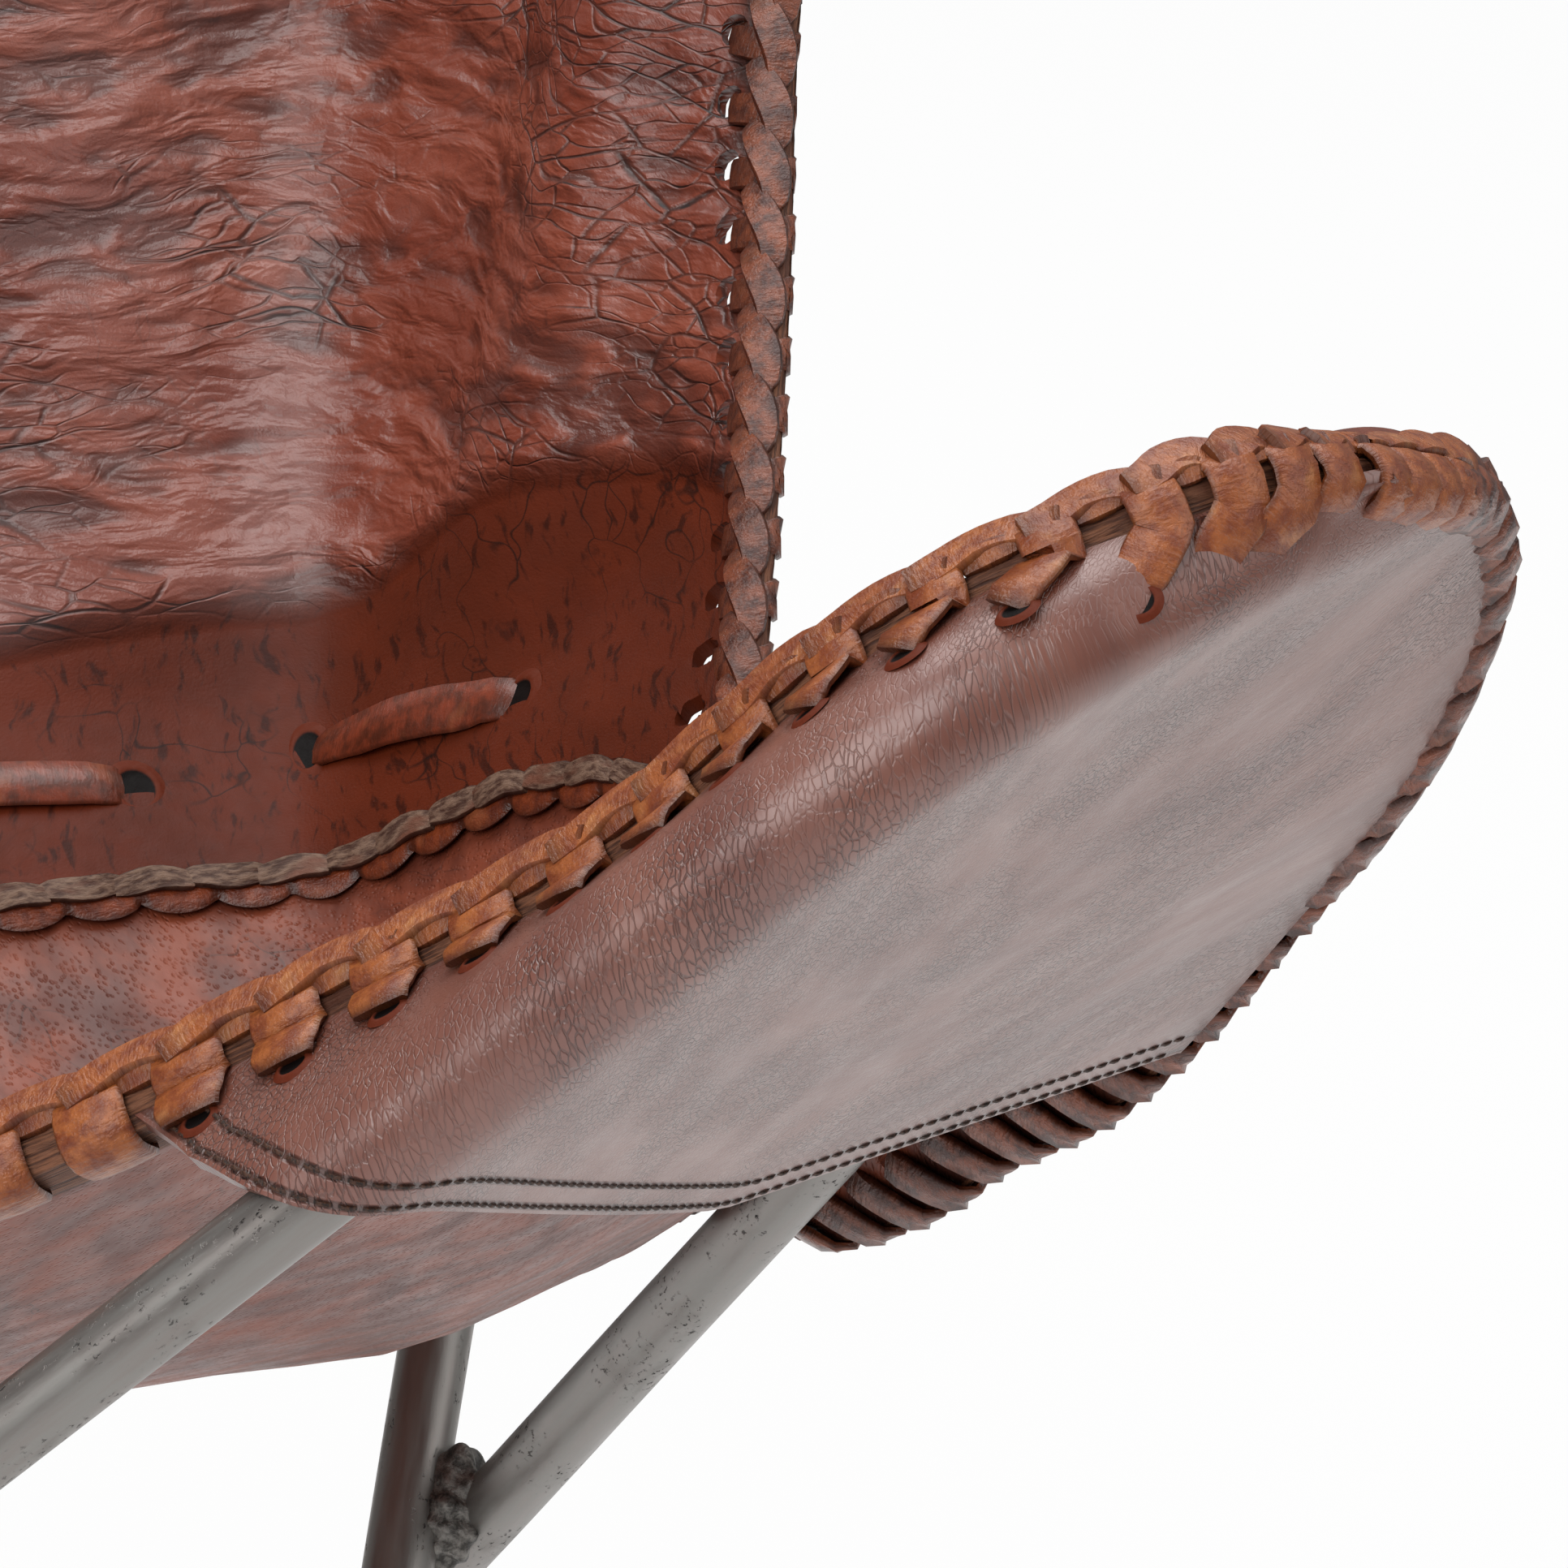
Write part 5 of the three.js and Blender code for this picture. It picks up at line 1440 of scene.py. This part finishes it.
def make_stitches(pockets):
    """Two rows of stitches along each pocket's mouth, each stitch its own short bar."""
    thread = waxed_thread()
    for name, bend, points in pockets:
        blank = Blank("stitch_blank", 3)
        sewn = points[::-1, 3:-3]
        deeper = sewn[3] - sewn[0]
        for inset in STITCH_INSETS:
            line = np.array([points_at(inset, lengths_along(back), back) for back in sewn.swapaxes(0, 1)])
            normals = unit(np.cross(np.gradient(line, axis=0), deeper))
            outer = (1 if normals[len(normals) // 2] @ bend.normal < 0 else -1) * normals
            length = lengths_along(line)
            for s in np.arange(3, length[-1] - 3, size("stitch") + STITCH_GAP):
                steps = s + np.linspace(0, size("stitch"), 4)
                centre = points_at(steps, length, line)
                up = unit(points_at(steps, length, outer))
                rise = LEATHER / 2 + np.array([-0.25, 0.1, 0.1, -0.25])
                side = unit(np.cross(np.gradient(centre, axis=0), up))
                blank.lay(centre + up * rise[:, None], side, up, 0.66, 0.6, hash_of(s))
        right = blank.gather(name + "_mouth_stitches_right")
        for side, piece in (("right", right), ("left", twin(right, name + "_mouth_stitches_left"))):
            done(piece, thread, name + "_pocket_thread_" + side, slot="thread")


# The lacing. Both distances run along a side edge, from the horn's tip to the end of its pocket.
FRONT_POCKET_ENDS = 158
BACK_POCKET_ENDS = 190


def doubled(course, distance):
    """How far an edge is doubled by a pocket at a distance along it: the front and top edges have a turned
    hem all along, the side edges are one layer between their pockets."""
    if course is not SIDE_COURSE:
        return np.ones_like(np.asarray(distance, float))
    front, back = rising(distance, FRONT_POCKET_ENDS, 12), rising(distance, course.length - BACK_POCKET_ENDS, 12)
    return 1 - front * (1 - back)


# The section of an edge whose hem is turned, as (out, up) places round it, and what is left of it where the
# edge is one layer
HEM_SECTION = np.array([(0.55, 1.25), (0.95, 0.4), (1.05, -0.6), (0.75, -1.35), (1.0, -2.0), (1.05, -3.1),
                        (0.6, -4.2), (-0.5, -4.35), (-4.5, -4.3), (-9, -4.2), (-12.5, -3.9), (-13.2, -2.9),
                        (-9, -1.6), (-1, -1.5), (-1.2, 1.25)])
SINGLE_SECTION = np.clip(HEM_SECTION, (-2.0, -1.3), (np.inf, 1.2))


def make_rim_edge(name, course):
    """The cut edge of the two layers, as the camera sees it between the straps, with its turned hem."""
    distances = np.linspace(0, course.length - 1, int(course.length / 2.2))
    sides = len(HEM_SECTION)
    edge, column, row = new_grid(name, sides, len(distances) - 1)
    spot_at, _, outward, up = course.at(distances)
    shape, single = HEM_SECTION[column % sides], SINGLE_SECTION[column % sides]
    shape = single + (shape - single) * doubled(course, distances[row])[:, None]
    wander = 0.28 * (hash_of(row + 77 * (column % sides)) - 0.5)
    put(edge, spot_at[row] + outward[row] * (shape[:, :1] + wander[:, None]) + up[row] * shape[:, 1:])
    lay_uv(edge, distances[row], np.r_[lengths_along(HEM_SECTION), 40][column])
    merge(edge)
    cap_ends(edge)
    face_out(edge)
    whole = joined([edge, twin(edge, name + "_other")], name)
    rounded(whole, 50)
    return whole


RIM_STRAP_PATH = [(-8.5, 1.0), (-6.2, 2.6), (-3.2, 3.3), (-0.4, 3.5), (1.6, 2.2), (2.35, -0.4), (2.1, -3.4),
                  (0.6, -5.35), (-2.4, -5.85), (-5.2, -5.85), (-7.6, -5.3), (-8.8, -3.6)]


# Along a strap from its inner to its outer end: the part that doesn't lean, and shares of its width
STRAIGHT_PART = [0, 0.35, 0.55, 1]
STRAP_WIDTHS = ([0, 0.12, 0.35, 0.55, 0.85, 1], [0.72, 0.9, 1, 1.02, 0.98, 0.8])
# A strap's outer end: the height under which it begins, how much it is pulled in on a pocket, and how high its
# middle lies over the middle of the pocket's leather after so many millimetres
OUTER_END = -0.9
PULLED_IN = 0.58
OVER_COVER = ([0, 3, 11, 15], [1.9, 2.9, 3.1, 1.6])


def lay_strap(blank, course, distance, path, lean, width, number, steps, cover=None):
    """One strap over the edge: path runs from the inner hole, over the edge, to the outer hole, and lean
    moves its ends along the edge, in millimetres. Where a pocket covers the edge, it ends on that."""
    line = through([spot(*p, 0) for p in path], steps)
    share = np.linspace(0, 1, steps)
    shift = np.interp(share, STRAIGHT_PART, [lean[0], 0, 0, lean[1]])
    jitter = hash_of(number) - 0.5
    flatter = 0.5 * (1 - doubled(course, distance))
    height = np.where(line[:, 1] < 0, line[:, 1] * (1 - flatter), line[:, 1])
    outward, up_by = line[:, 0] + 0.3 * jitter, height + 0.35 * (hash_of(number + 31) - 0.5)
    centres = course.place(distance + shift, outward, up_by)
    if cover and cover.reaches(distance + shift[-1]):
        over = np.flatnonzero(line[:, 1] < OUTER_END)
        arc = lengths_along(line[over])
        for k, gone in zip(over, arc):
            middle, normal, _ = cover.at(distance + shift[k], PULLED_IN * gone, distance + shift[-1] / 2)
            centres[k] = middle + normal * np.interp(gone, *OVER_COVER)
    _, tangent, _, _ = course.at(distance + shift)
    ahead = unit(np.gradient(centres, axis=0))
    side = unit(tangent - dot(tangent, ahead)[:, None] * ahead)
    up = unit(np.cross(side, ahead))
    inner = course.at(distance)[0]
    if (centres[steps // 2] - inner) @ up[steps // 2] < 0:
        up = -up
    profile = np.interp(share, *STRAP_WIDTHS)
    blank.lay(centres, side, up, width * profile * (1 + 0.1 * jitter), size("strap_thickness"), hash_of(number + 5))


def lay_band(blank, course, distance, line, tilts, widths, thickness, number, steps):
    """A length of lace along the edge: line holds (along, out, up) places, tilts how far its face leans
    from up to out."""
    line = through([spot(*p) for p in line], steps)
    share = np.linspace(0, 1, steps)
    reach = np.clip(distance + line[:, 0], 0.5, course.length - 0.2)
    centres = course.place(reach, line[:, 1], line[:, 2] + 0.4 * (hash_of(number + 17) - 0.5))
    _, _, outward, up = course.at(reach)
    lean = np.interp(share, np.linspace(0, 1, len(tilts)), tilts)[:, None]
    width = np.interp(share, np.linspace(0, 1, len(widths)), widths) * (1 + 0.12 * (hash_of(number + 3) - 0.5))
    lay_facing(blank, centres, up * (1 - lean) + outward * lean, width, thickness, hash_of(number + 11))


def way_along(piece):
    """For each vertex, how far along its own strap it lies, from 0 to 1."""
    way = np.zeros(len(piece.data.vertices))
    piece.data.attributes["way"].data.foreach_get("value", way)
    return way


def shade_ends(piece, first, last, depth=1.0):
    """Paints shade over the first and the last part of each strap in a piece, where it goes into a hole or under other
    lacing.
    """
    way = way_along(piece)
    ends = np.maximum(1 - way / first, (way - last) / (1 - last))
    note(piece, "end_dark", depth * np.clip(ends, 0, 1))
    return piece


# A band between two straps 17 mm apart as (along, out, up, share of its sinking where it lies flatter), and
# the lobe under it
RIM_BAND_PITCH = 17
RIM_BAND = [(-3.5, 1.1, 3.7, 0), (1.5, 0.2, 5.4, 1), (6.5, -0.9, 6.5, 1), (11.5, -1.2, 6.4, 1), (16.0, -0.4, 5.2, 1),
            (20.0, 0.9, 3.4, 0)]
RIM_LOBE = [(4.2, 0.4, 2.1), (7.0, 0.8, 2.9), (10.5, 0.8, 3.0), (13.6, 0.3, 2.3)]
# The tan straps that go on round the front horn's tip to the side edge
TIP_STRAP_PITCH = 7.6
TIP_STRAP_LEANS = (-1.0, -6.5, -5.5, -1.5)
TIP_BAND = [(-4, 0.2, 3.7), (0, -0.5, 5.0), (4.5, -0.8, 5.2), (9, -0.2, 3.6)]


def make_rim_lace(name, course, node, material, cut_edge, cover):
    edge = make_rim_edge(name + "_cut_edge", course)
    straps, bands, lobes = (Blank(name + part, steps) for part, steps in (("_s", 13), ("_b", 12), ("_l", 7)))
    places = rim_places(course)
    for number, distance in enumerate(places):
        skew = rim_skew(course, distance)
        near_tip = rising(distance, course.length - 110, 70)
        ahead = (places[number + 1] if number + 1 < len(places) else distance + 9) - distance
        width = size("rim_strap") * (1.22 - 0.22 * rising(distance, 280, 110) - 0.1 * near_tip)
        lay_strap(straps, course, distance, RIM_STRAP_PATH, (-2.5, -skew), width, number, 14, cover)
        k = ahead / RIM_BAND_PITCH
        flat = 1.3 * rising(distance, 260, 110)
        line = [(k * along, outward, up - flat * sinks) for along, outward, up, sinks in RIM_BAND]
        lay_band(bands, course, distance, line, (0.75, 0.62, 0.5, 0.5, 0.6, 0.75), (4.4, 6.4, 7.4, 7.4, 6.0, 3.4),
                 2.2, number, 13)
        line = [(k * along, outward, up) for along, outward, up in RIM_LOBE]
        lay_band(lobes, course, distance, line, (0.8, 0.8), (2.0, 4.4, 4.2, 1.6), 1.6, number + 40, 8)
    if course is FRONT_COURSE:
        for number, lean in enumerate(TIP_STRAP_LEANS):
            distance = 1.5 + TIP_STRAP_PITCH * number
            lay_strap(straps, SIDE_COURSE, distance, WING_STRAP_PATH, (0, lean), 8.8, number + 60, 14)
            lay_band(bands, SIDE_COURSE, distance, TIP_BAND, (0.6, 0.5, 0.5, 0.7), (4.0, 6.2, 6.4, 4.0), 2.0,
                     number + 71, 13)
    # painted shade: the straps' ends in their holes, the bands' ends under their neighbours, and the lobes in the
    # recess under the bands all but their middle
    straps = shade_ends(straps.gather(name + "_straps"), 0.3, 0.9)
    bands = shade_ends(bands.gather(name + "_bands"), 0.14, 0.86, 0.8)
    lobes = shade_ends(lobes.gather(name + "_lobes"), 0.6, 0.4, 1.0)
    straps = joined([straps, bands, lobes], name + "_tan")
    straps = joined([straps, twin(straps, name + "_other")], name)
    done(edge, cut_edge)
    done(straps, material, node, slot="lace")


WELL_SIDES = 24
# From a well's middle over its rim: the reach as a share of its radius, and the height over the leather
WELL_REACH = np.array([0.02, 0.55, 0.86, 1.0, 1.22, 1.5])
WELL_LIFT = np.array([0.08, 0.09, 0.12, 0.5, 0.28, -0.15])


def well(centre, along, across, face, half_long, half_short):
    """A punched hole on a face of a sheet: a worn rim round a well painted near-black as the hole's shade."""
    disc, column, row = new_grid("well", WELL_SIDES, len(WELL_REACH) - 1)
    angle = 2 * math.pi * column / WELL_SIDES
    reach, lift = WELL_REACH[row], WELL_LIFT[row]
    x, y = np.cos(angle) * reach * half_long, np.sin(angle) * reach * half_short
    put(disc, centre + x[:, None] * along + y[:, None] * across + (LEATHER / 2 + lift)[:, None] * face)
    note(disc, "well", reach)
    lay_uv(disc, x, y)
    if np.array(disc.data.polygons[0].normal) @ face < 0:
        disc.data.flip_normals()
    return disc


def finish_wells(discs, name):
    holes = joined(discs, name)
    merge(holes)
    rounded(holes)
    return holes


def make_pocket_wells(cover):
    """The holes that show past the outer ends of the front edge's straps."""
    discs = []
    for distance in rim_places(cover.course):
        distance -= rim_skew(cover.course, distance) - 1.0
        if cover.reaches(distance):
            centre, face, along = cover.at(distance, 8.7 + 1.1 * rising(distance, 300, 80))
            along = unit(along - (along @ face) * face)
            discs.append(well(centre, along, np.cross(face, along), face, 2.4, 2.2))
    right = finish_wells(discs, "front_lace_holes_right")
    leather = hole_leather()
    done(twin(right, "front_lace_holes_left"), leather)
    done(right, leather)


WING_STRAP_PATH = [(-9.4, 0.6), (-7.0, 2.4), (-3.6, 3.0), (-0.4, 3.1), (1.7, 1.9), (2.4, -0.6), (2.1, -3.4),
                   (0.4, -5.2), (-2.6, -5.7), (-5.8, -5.5), (-8.2, -4.9), (-9.6, -3.4)]
BACK_STRAP_PATH = [(-11.4, 0.6), (-9.8, 2.1), (-6.8, 2.9), (-3.0, 2.9), (-0.6, 2.2), (0.5, 0.4), (0.4, -2.2),
                   (-0.6, -4.4), (-3.4, -5.3), (-6.4, -5.2), (-9.4, -4.8), (-11.4, -3.4)]
# A leaf of the side lacing, and how much further in and up it lies on the seat's edge
SIDE_LEAF = [(8.4, -4.2, 3.5), (5.6, -2.6, 4.0), (1.6, -0.8, 3.6), (-3.0, 0.4, 2.6), (-8.0, 0.3, 1.9),
             (-13.0, -1.4, 2.4)]
SEAT_LEAF_SHIFT = (0, -1.4, 0.5)


def make_side_lace(material, cut_edge):
    """Dark lacing along a side edge: slanted straps round the edge, and a chain of overlapping leaves that
    hides the edge behind the seat and lies inside it in front."""
    course = SIDE_COURSE
    pitch = size("side_pitch")
    straps, leaves = Blank("side_blank", 12), Blank("leaf_blank", 9)
    for number in range(int((course.length - 6) / pitch)):
        hole = HOLE_PHASE + (number + 1) * pitch
        back = rising(hole, SEAM_ON_EDGE - 40, 50)
        at_tip = smooth((course.length - hole) / 50) * rising(hole, 22, 34)
        lean = (9.0 + 2.0 * back) * at_tip
        distance = hole - lean
        if distance < 26:
            continue
        path = WING_STRAP_PATH if back < 0.5 else BACK_STRAP_PATH
        width = size("side_strap") * (0.9 - 0.1 * back + 0.28 * doubled(course, distance) * (1 - back))
        lay_strap(straps, course, distance, path, (lean - 5.2 * back, lean), width, number + 200, 13)
        line = np.array(SIDE_LEAF) + np.array(SEAT_LEAF_SHIFT) * (1 - back)
        lay_band(leaves, course, distance + 2, line, (0.2, 0.35, 0.5, 0.6, 0.5), (3.2, 5.2, 6.2, 5.8, 4.2, 1.2), 2.0,
                 number + 91, 10)
    # painted shade where the straps go into their holes and the leaves tuck under each other
    straps = shade_ends(straps.gather("side_straps"), 0.36, 0.92)
    leaves = shade_ends(leaves.gather("side_leaves"), 0.16, 0.9, 0.8)
    right = joined([straps, leaves], "side_lacing_right")
    for side, piece in (("right", right), ("left", twin(right, "side_lacing_left"))):
        done(piece, material, side + "_edge_lace", slot="side_lace")
    done(make_rim_edge("side_cut_edge", course), cut_edge)


SEAM_REACH = 0.985  # share of the sling's half width


def seam_course(above=0.0):
    """A line along the seam over the back panel's lower edge, or that far above it."""
    across = np.linspace(-SEAM_REACH, SEAM_REACH, 520)
    start = seam_share(across) - LAP_SHARE
    step = 0.004
    speed = np.linalg.norm(sling_point(across, start + step) - sling_point(across, start - step), axis=1) / (2 * step)
    along = start + above / speed
    return Course(back_surface(across, along), sling_normal(across, along), spot(0, -1, 0))


BRAID_PITCH = 12.6
SCALLOP_PITCH = 13.2
LIP_THICKNESS = 0.5 * MM


def make_seam_lace():
    """A dry braid over the back panel's lower edge, and the scalloped lip that shows under it."""
    course = seam_course()
    lumps = Blank("lump_blank", 8)
    for number in range(2, int(course.length / BRAID_PITCH) - 2):
        start = 2 + number * BRAID_PITCH
        share = np.linspace(0, 1, 9)
        turn = 1 if number % 2 else -1
        reach = np.minimum(start + share * BRAID_PITCH * 1.1, course.length)
        sway = 0.45 * np.sin(share * math.pi * 2 + 1.2) * turn
        rise = LEATHER / 2 + 0.5 + 0.75 * np.sin(share * math.pi) ** 0.6
        centres = course.place(reach, -0.4 + sway, rise)
        _, _, outward, up = course.at(reach)
        roll = up + outward * (0.35 + 0.25 * np.cos(share * math.pi)[:, None] * turn)
        width = 3.1 + 1.6 * np.sin(share * math.pi) ** 0.5
        lay_facing(lumps, centres, roll, width, 1.5, hash_of(number + 300))
    braid = lumps.gather("seam_braid")
    done(braid, dry_braid(), "seam_lace", slot="braid")

    distances = np.arange(2, course.length - 2, 0.9)
    lip, column, row = new_grid("seam_scallops", 8, len(distances) - 1)
    swell = np.abs(np.sin(math.pi * distances / SCALLOP_PITCH)) ** 0.6
    share = column / 8
    outward = 0.6 + share * (1.4 + 3.0 * swell[row])
    rise = LEATHER / 2 - 0.1 + 0.3 * np.sin(share * math.pi) - share * 1.5
    put(lip, course.place(distances[row], outward, rise))
    lay_uv(lip, distances[row], outward)
    note(lip, "shade", 0.2)
    note(lip, "across", 0.3)
    # painted shade along the scallops' outer rims and in the gaps between them
    note(lip, "end_dark", np.clip(share**4 + np.where(swell[row] < 0.45, 0.8, 0), 0, 1))
    normals_to(lip, course)
    finish_with(lip, "SOLIDIFY", thickness=LIP_THICKNESS, offset=-1)
    rounded(lip, 50)
    shades = paint("#8a4020"), paint("#5c2614"), paint("#9c5a38")
    done(lip, lace_leather("scallop_leather", *shades, gloss=0.3), slot="leather")


STRIPS_ABOVE_SEAM = 23.0
# Where its lengths lie, as shares of the sling's half width
STRIP_PITCH = 0.25
STRIP_LENGTH = 0.15
STRIP_PHASE = 0.83


def make_running_lace(material):
    """A flat lace woven in and out of the back's lower band, and the small holes that it passes."""
    course = seam_course(STRIPS_ABOVE_SEAM)
    strips = Blank("strip_blank", 14)
    rims = []
    across = np.linspace(-SEAM_REACH, SEAM_REACH, len(course.spots))
    for number in range(8):
        right_end = STRIP_PHASE - STRIP_PITCH * number
        start, stop = np.interp([right_end - STRIP_LENGTH, right_end], across, course.at_length)
        if start < 20:
            continue
        share = np.linspace(0, 1, 15)
        reach = start + share * (stop - start)
        rise = np.interp(share, [0, 0.05, 0.14, 0.5, 0.86, 0.95, 1], [-0.6, 1.6, 2.5, 2.9, 2.5, 1.5, -1.0])
        half = np.clip((right_end - STRIP_LENGTH / 2) / 0.3, -1, 1)
        tilt = -7.0 * abs(half) * (1 - share if half > 0 else share)
        centres = course.place(reach, tilt, rise)
        width = np.interp(share, [0, 0.08, 0.3, 0.8, 0.93, 1], [4.4, 8.2, 9.2, 9.2, 8.4, 6.8])
        lay_facing(strips, centres, course.at(reach)[3], width, 1.6, 0.3 * hash_of(number + 500))
        rims.append((stop - 0.4, tilt[-1], 3.7, 4.2))
        rims.append((start + 0.6, tilt[0], 2.8, 4.6))
    lace = strips.gather("running_strips")
    # painted shade where the lace dives into its holes
    note(lace, "end_dark", np.clip(np.abs(way_along(lace) - 0.5) * 2 - 0.75, 0, 0.25) * 3.6)
    done(lace, material, "running_lace", slot="lace")
    make_lace_holes(course, rims)


def make_lace_holes(course, rims):
    """The punched holes that the running lace dives into."""
    discs = []
    for distance, aside, half_long, half_short in rims:
        centre, tangent, outward, up = course.at(distance)
        discs.append(well(centre + outward * aside, tangent, outward, up, half_long, half_short))
    done(finish_wells(discs, "running_lace_holes"), hole_leather())


def normals_to(piece, course):
    """Turns an open skin that lies on the sling so that it faces the sitter."""
    face = piece.data.polygons[0]
    centre = np.array(face.center) / MM
    nearest = np.linalg.norm(course.parts[0] - centre, axis=1).argmin()
    if np.array(face.normal) @ course.parts[3][nearest] < 0:
        piece.data.flip_normals()


# The studio.
AIR_LIGHT = 0.26
CAMERA_PLACE = (0.08474, -2.51587, 1.13310)
CAMERA_TILT = 16.877  # degrees below level
CAMERA_TURN = -6.566  # degrees, to the right of straight ahead
CAMERA_LENS = 364.15
# Each lamp's name, place, width, power and what it is aimed at
LAMPS = [
    ("window", (-1.5, -2.5, 2.4), 3.0, 92, (0.0, 0.0, 0.6)),
    ("fill", (2.6, -0.6, 2.0), 2.4, 24, (0.1, 0.0, 0.5)),
    ("top", (0.2, 0.6, 3.0), 2.4, 62, (0.0, 0.0, 0.5)),
]


def make_stage():
    bpy.ops.object.select_all(action="DESELECT")
    bpy.ops.mesh.primitive_plane_add(size=14, location=(0, 0, 0))
    floor = bpy.context.active_object
    floor.name = floor.data.name = "studio_floor"
    edit(floor, bpy.ops.mesh.subdivide, number_cuts=6)
    floor.data.materials.append(painted_floor())

    world = bpy.data.worlds.new("studio_air")
    bpy.context.scene.world = world
    world.use_nodes = True
    tree = world.node_tree
    air = tree.nodes["Background"]
    air.inputs["Color"].default_value = WHITE
    fill(air.inputs["Strength"], between(rays(tree)[1], AIR_LIGHT, 1.0))

    for name, place, width, power, aim in LAMPS:
        bpy.ops.object.light_add(type="AREA", location=place)
        lamp = bpy.context.active_object
        lamp.name = lamp.data.name = name + "_light"
        lamp.data.shape, lamp.data.size, lamp.data.energy = "SQUARE", width, power
        way = unit(np.array(aim) - np.array(place))
        lamp.rotation_euler = (math.acos(-way[2]), 0, math.atan2(-way[0], way[1]))
    bpy.context.scene.view_settings.view_transform = "Standard"

    turn = (math.radians(90 - CAMERA_TILT), 0, math.radians(CAMERA_TURN))
    bpy.ops.object.camera_add(location=CAMERA_PLACE, rotation=turn)
    camera = bpy.context.active_object
    camera.data.lens, camera.data.sensor_width = CAMERA_LENS, 36
    camera.data.clip_start, camera.data.clip_end = 0.1, 60
    bpy.context.scene.camera = camera


# Operators, one for each piece or group of like pieces.
class CHAIR_OT_rods(bpy.types.Operator):
    """Replace the rods and bends with smooth raw steel ones"""

    bl_idname = "chair.rods"
    bl_label = "Rods and bends"

    def execute(self, context):
        steel = raw_steel()
        for name in RODS:
            make_rod(name, steel)
        for name, bend in BENDS.items():
            for left in (False, True):
                make_bend(name, bend, left, steel)
        return {"FINISHED"}


class CHAIR_OT_welds(bpy.types.Operator):
    """Lay the four welds where the rods cross"""

    bl_idname = "chair.welds"
    bl_label = "Welds"

    def execute(self, context):
        metal = weld_metal()
        for name, cross in CROSSINGS.items():
            make_weld(name, cross, metal)
        return {"FINISHED"}


class CHAIR_OT_seat(bpy.types.Operator):
    """Cut and hang the seat panel"""

    bl_idname = "chair.seat"
    bl_label = "Seat panel"

    def execute(self, context):
        make_seat()
        return {"FINISHED"}


class CHAIR_OT_back(bpy.types.Operator):
    """Cut, punch and hang the back panel"""

    bl_idname = "chair.back"
    bl_label = "Back panel"

    def execute(self, context):
        make_back()
        return {"FINISHED"}


# The pocket faces that the lacing lies on, kept from one operator to the next
pocket_faces = {}


class CHAIR_OT_pockets(bpy.types.Operator):
    """Sew the four horn pockets and the stitches of their mouths"""

    bl_idname = "chair.pockets"
    bl_label = "Pockets and stitches"

    def execute(self, context):
        pockets = make_pockets()
        make_stitches(pockets)
        pocket_faces["front"] = PocketFace(pockets[0][2], FRONT_COURSE, False)
        pocket_faces["back"] = PocketFace(pockets[1][2], TOP_COURSE, True)
        make_pocket_wells(pocket_faces["front"])
        return {"FINISHED"}


class CHAIR_OT_rim_lacing(bpy.types.Operator):
    """Lace the front and the top edge with tan straps"""

    bl_idname = "chair.rim_lacing"
    bl_label = "Front and top lacing"

    def execute(self, context):
        tan = lace_leather("tan_lace", colour("tan"), paint("#74351a"), paint("#bd8150"), 0.3)
        cut_edge = raw_edge()
        make_rim_lace("front_lacing", FRONT_COURSE, "front_edge_lace", tan, cut_edge, pocket_faces["front"])
        make_rim_lace("top_lacing", TOP_COURSE, "top_edge_lace", tan, cut_edge, pocket_faces["back"])
        return {"FINISHED"}


class CHAIR_OT_side_lacing(bpy.types.Operator):
    """Lace the side edges with dark straps and leaves"""

    bl_idname = "chair.side_lacing"
    bl_label = "Side lacing"

    def execute(self, context):
        deep = lace_leather("dark_lace", colour("dark_lace"), paint("#3d1a10"), paint("#8a4e30"), 0.28)
        make_side_lace(deep, raw_edge())
        return {"FINISHED"}


class CHAIR_OT_seam_lacing(bpy.types.Operator):
    """Braid the seam between seat and back, and weave the flat lace above it"""

    bl_idname = "chair.seam_lacing"
    bl_label = "Seam braid and running lace"

    def execute(self, context):
        make_seam_lace()
        shades = paint("#7c3620"), paint("#4e2212"), paint("#94502f")
        make_running_lace(lace_leather("running_lace_leather", *shades, gloss=0.3, wrinkle=0.00014))
        return {"FINISHED"}


class CHAIR_OT_stage(bpy.types.Operator):
    """Set the floor, the air, the lamps and the camera"""

    bl_idname = "chair.stage"
    bl_label = "Stage"

    def execute(self, context):
        make_stage()
        return {"FINISHED"}


STEPS = [CHAIR_OT_stage, CHAIR_OT_rods, CHAIR_OT_welds, CHAIR_OT_seat, CHAIR_OT_back, CHAIR_OT_pockets,
         CHAIR_OT_rim_lacing, CHAIR_OT_side_lacing, CHAIR_OT_seam_lacing]


class CHAIR_PT_panel(bpy.types.Panel):
    """The chair's sizes, colours and steps"""

    bl_label = "Sling Chair"
    bl_idname = "CHAIR_PT_panel"
    bl_space_type = "VIEW_3D"
    bl_region_type = "UI"
    bl_category = "Sling Chair"

    def draw(self, context):
        for group in (context.scene.chair_sizes, context.scene.chair_colours):
            box = self.layout.box()
            for name in group.bl_rna.properties.keys():
                if name not in ("rna_type", "name"):
                    box.prop(group, name)
        for step in STEPS:
            self.layout.operator(step.bl_idname)


CLASSES = [ChairSizes, ChairColours, *STEPS, CHAIR_PT_panel]


def register():
    for kind in CLASSES:
        bpy.utils.register_class(kind)
    bpy.types.Scene.chair_sizes = PointerProperty(type=ChairSizes)
    bpy.types.Scene.chair_colours = PointerProperty(type=ChairColours)


def unregister():
    del bpy.types.Scene.chair_colours
    del bpy.types.Scene.chair_sizes
    for kind in reversed(CLASSES):
        bpy.utils.unregister_class(kind)


def main():
    register()
    for step in STEPS:
        group, name = step.bl_idname.split(".")
        getattr(getattr(bpy.ops, group), name)()
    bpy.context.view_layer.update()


if __name__ == "__main__":
    main()
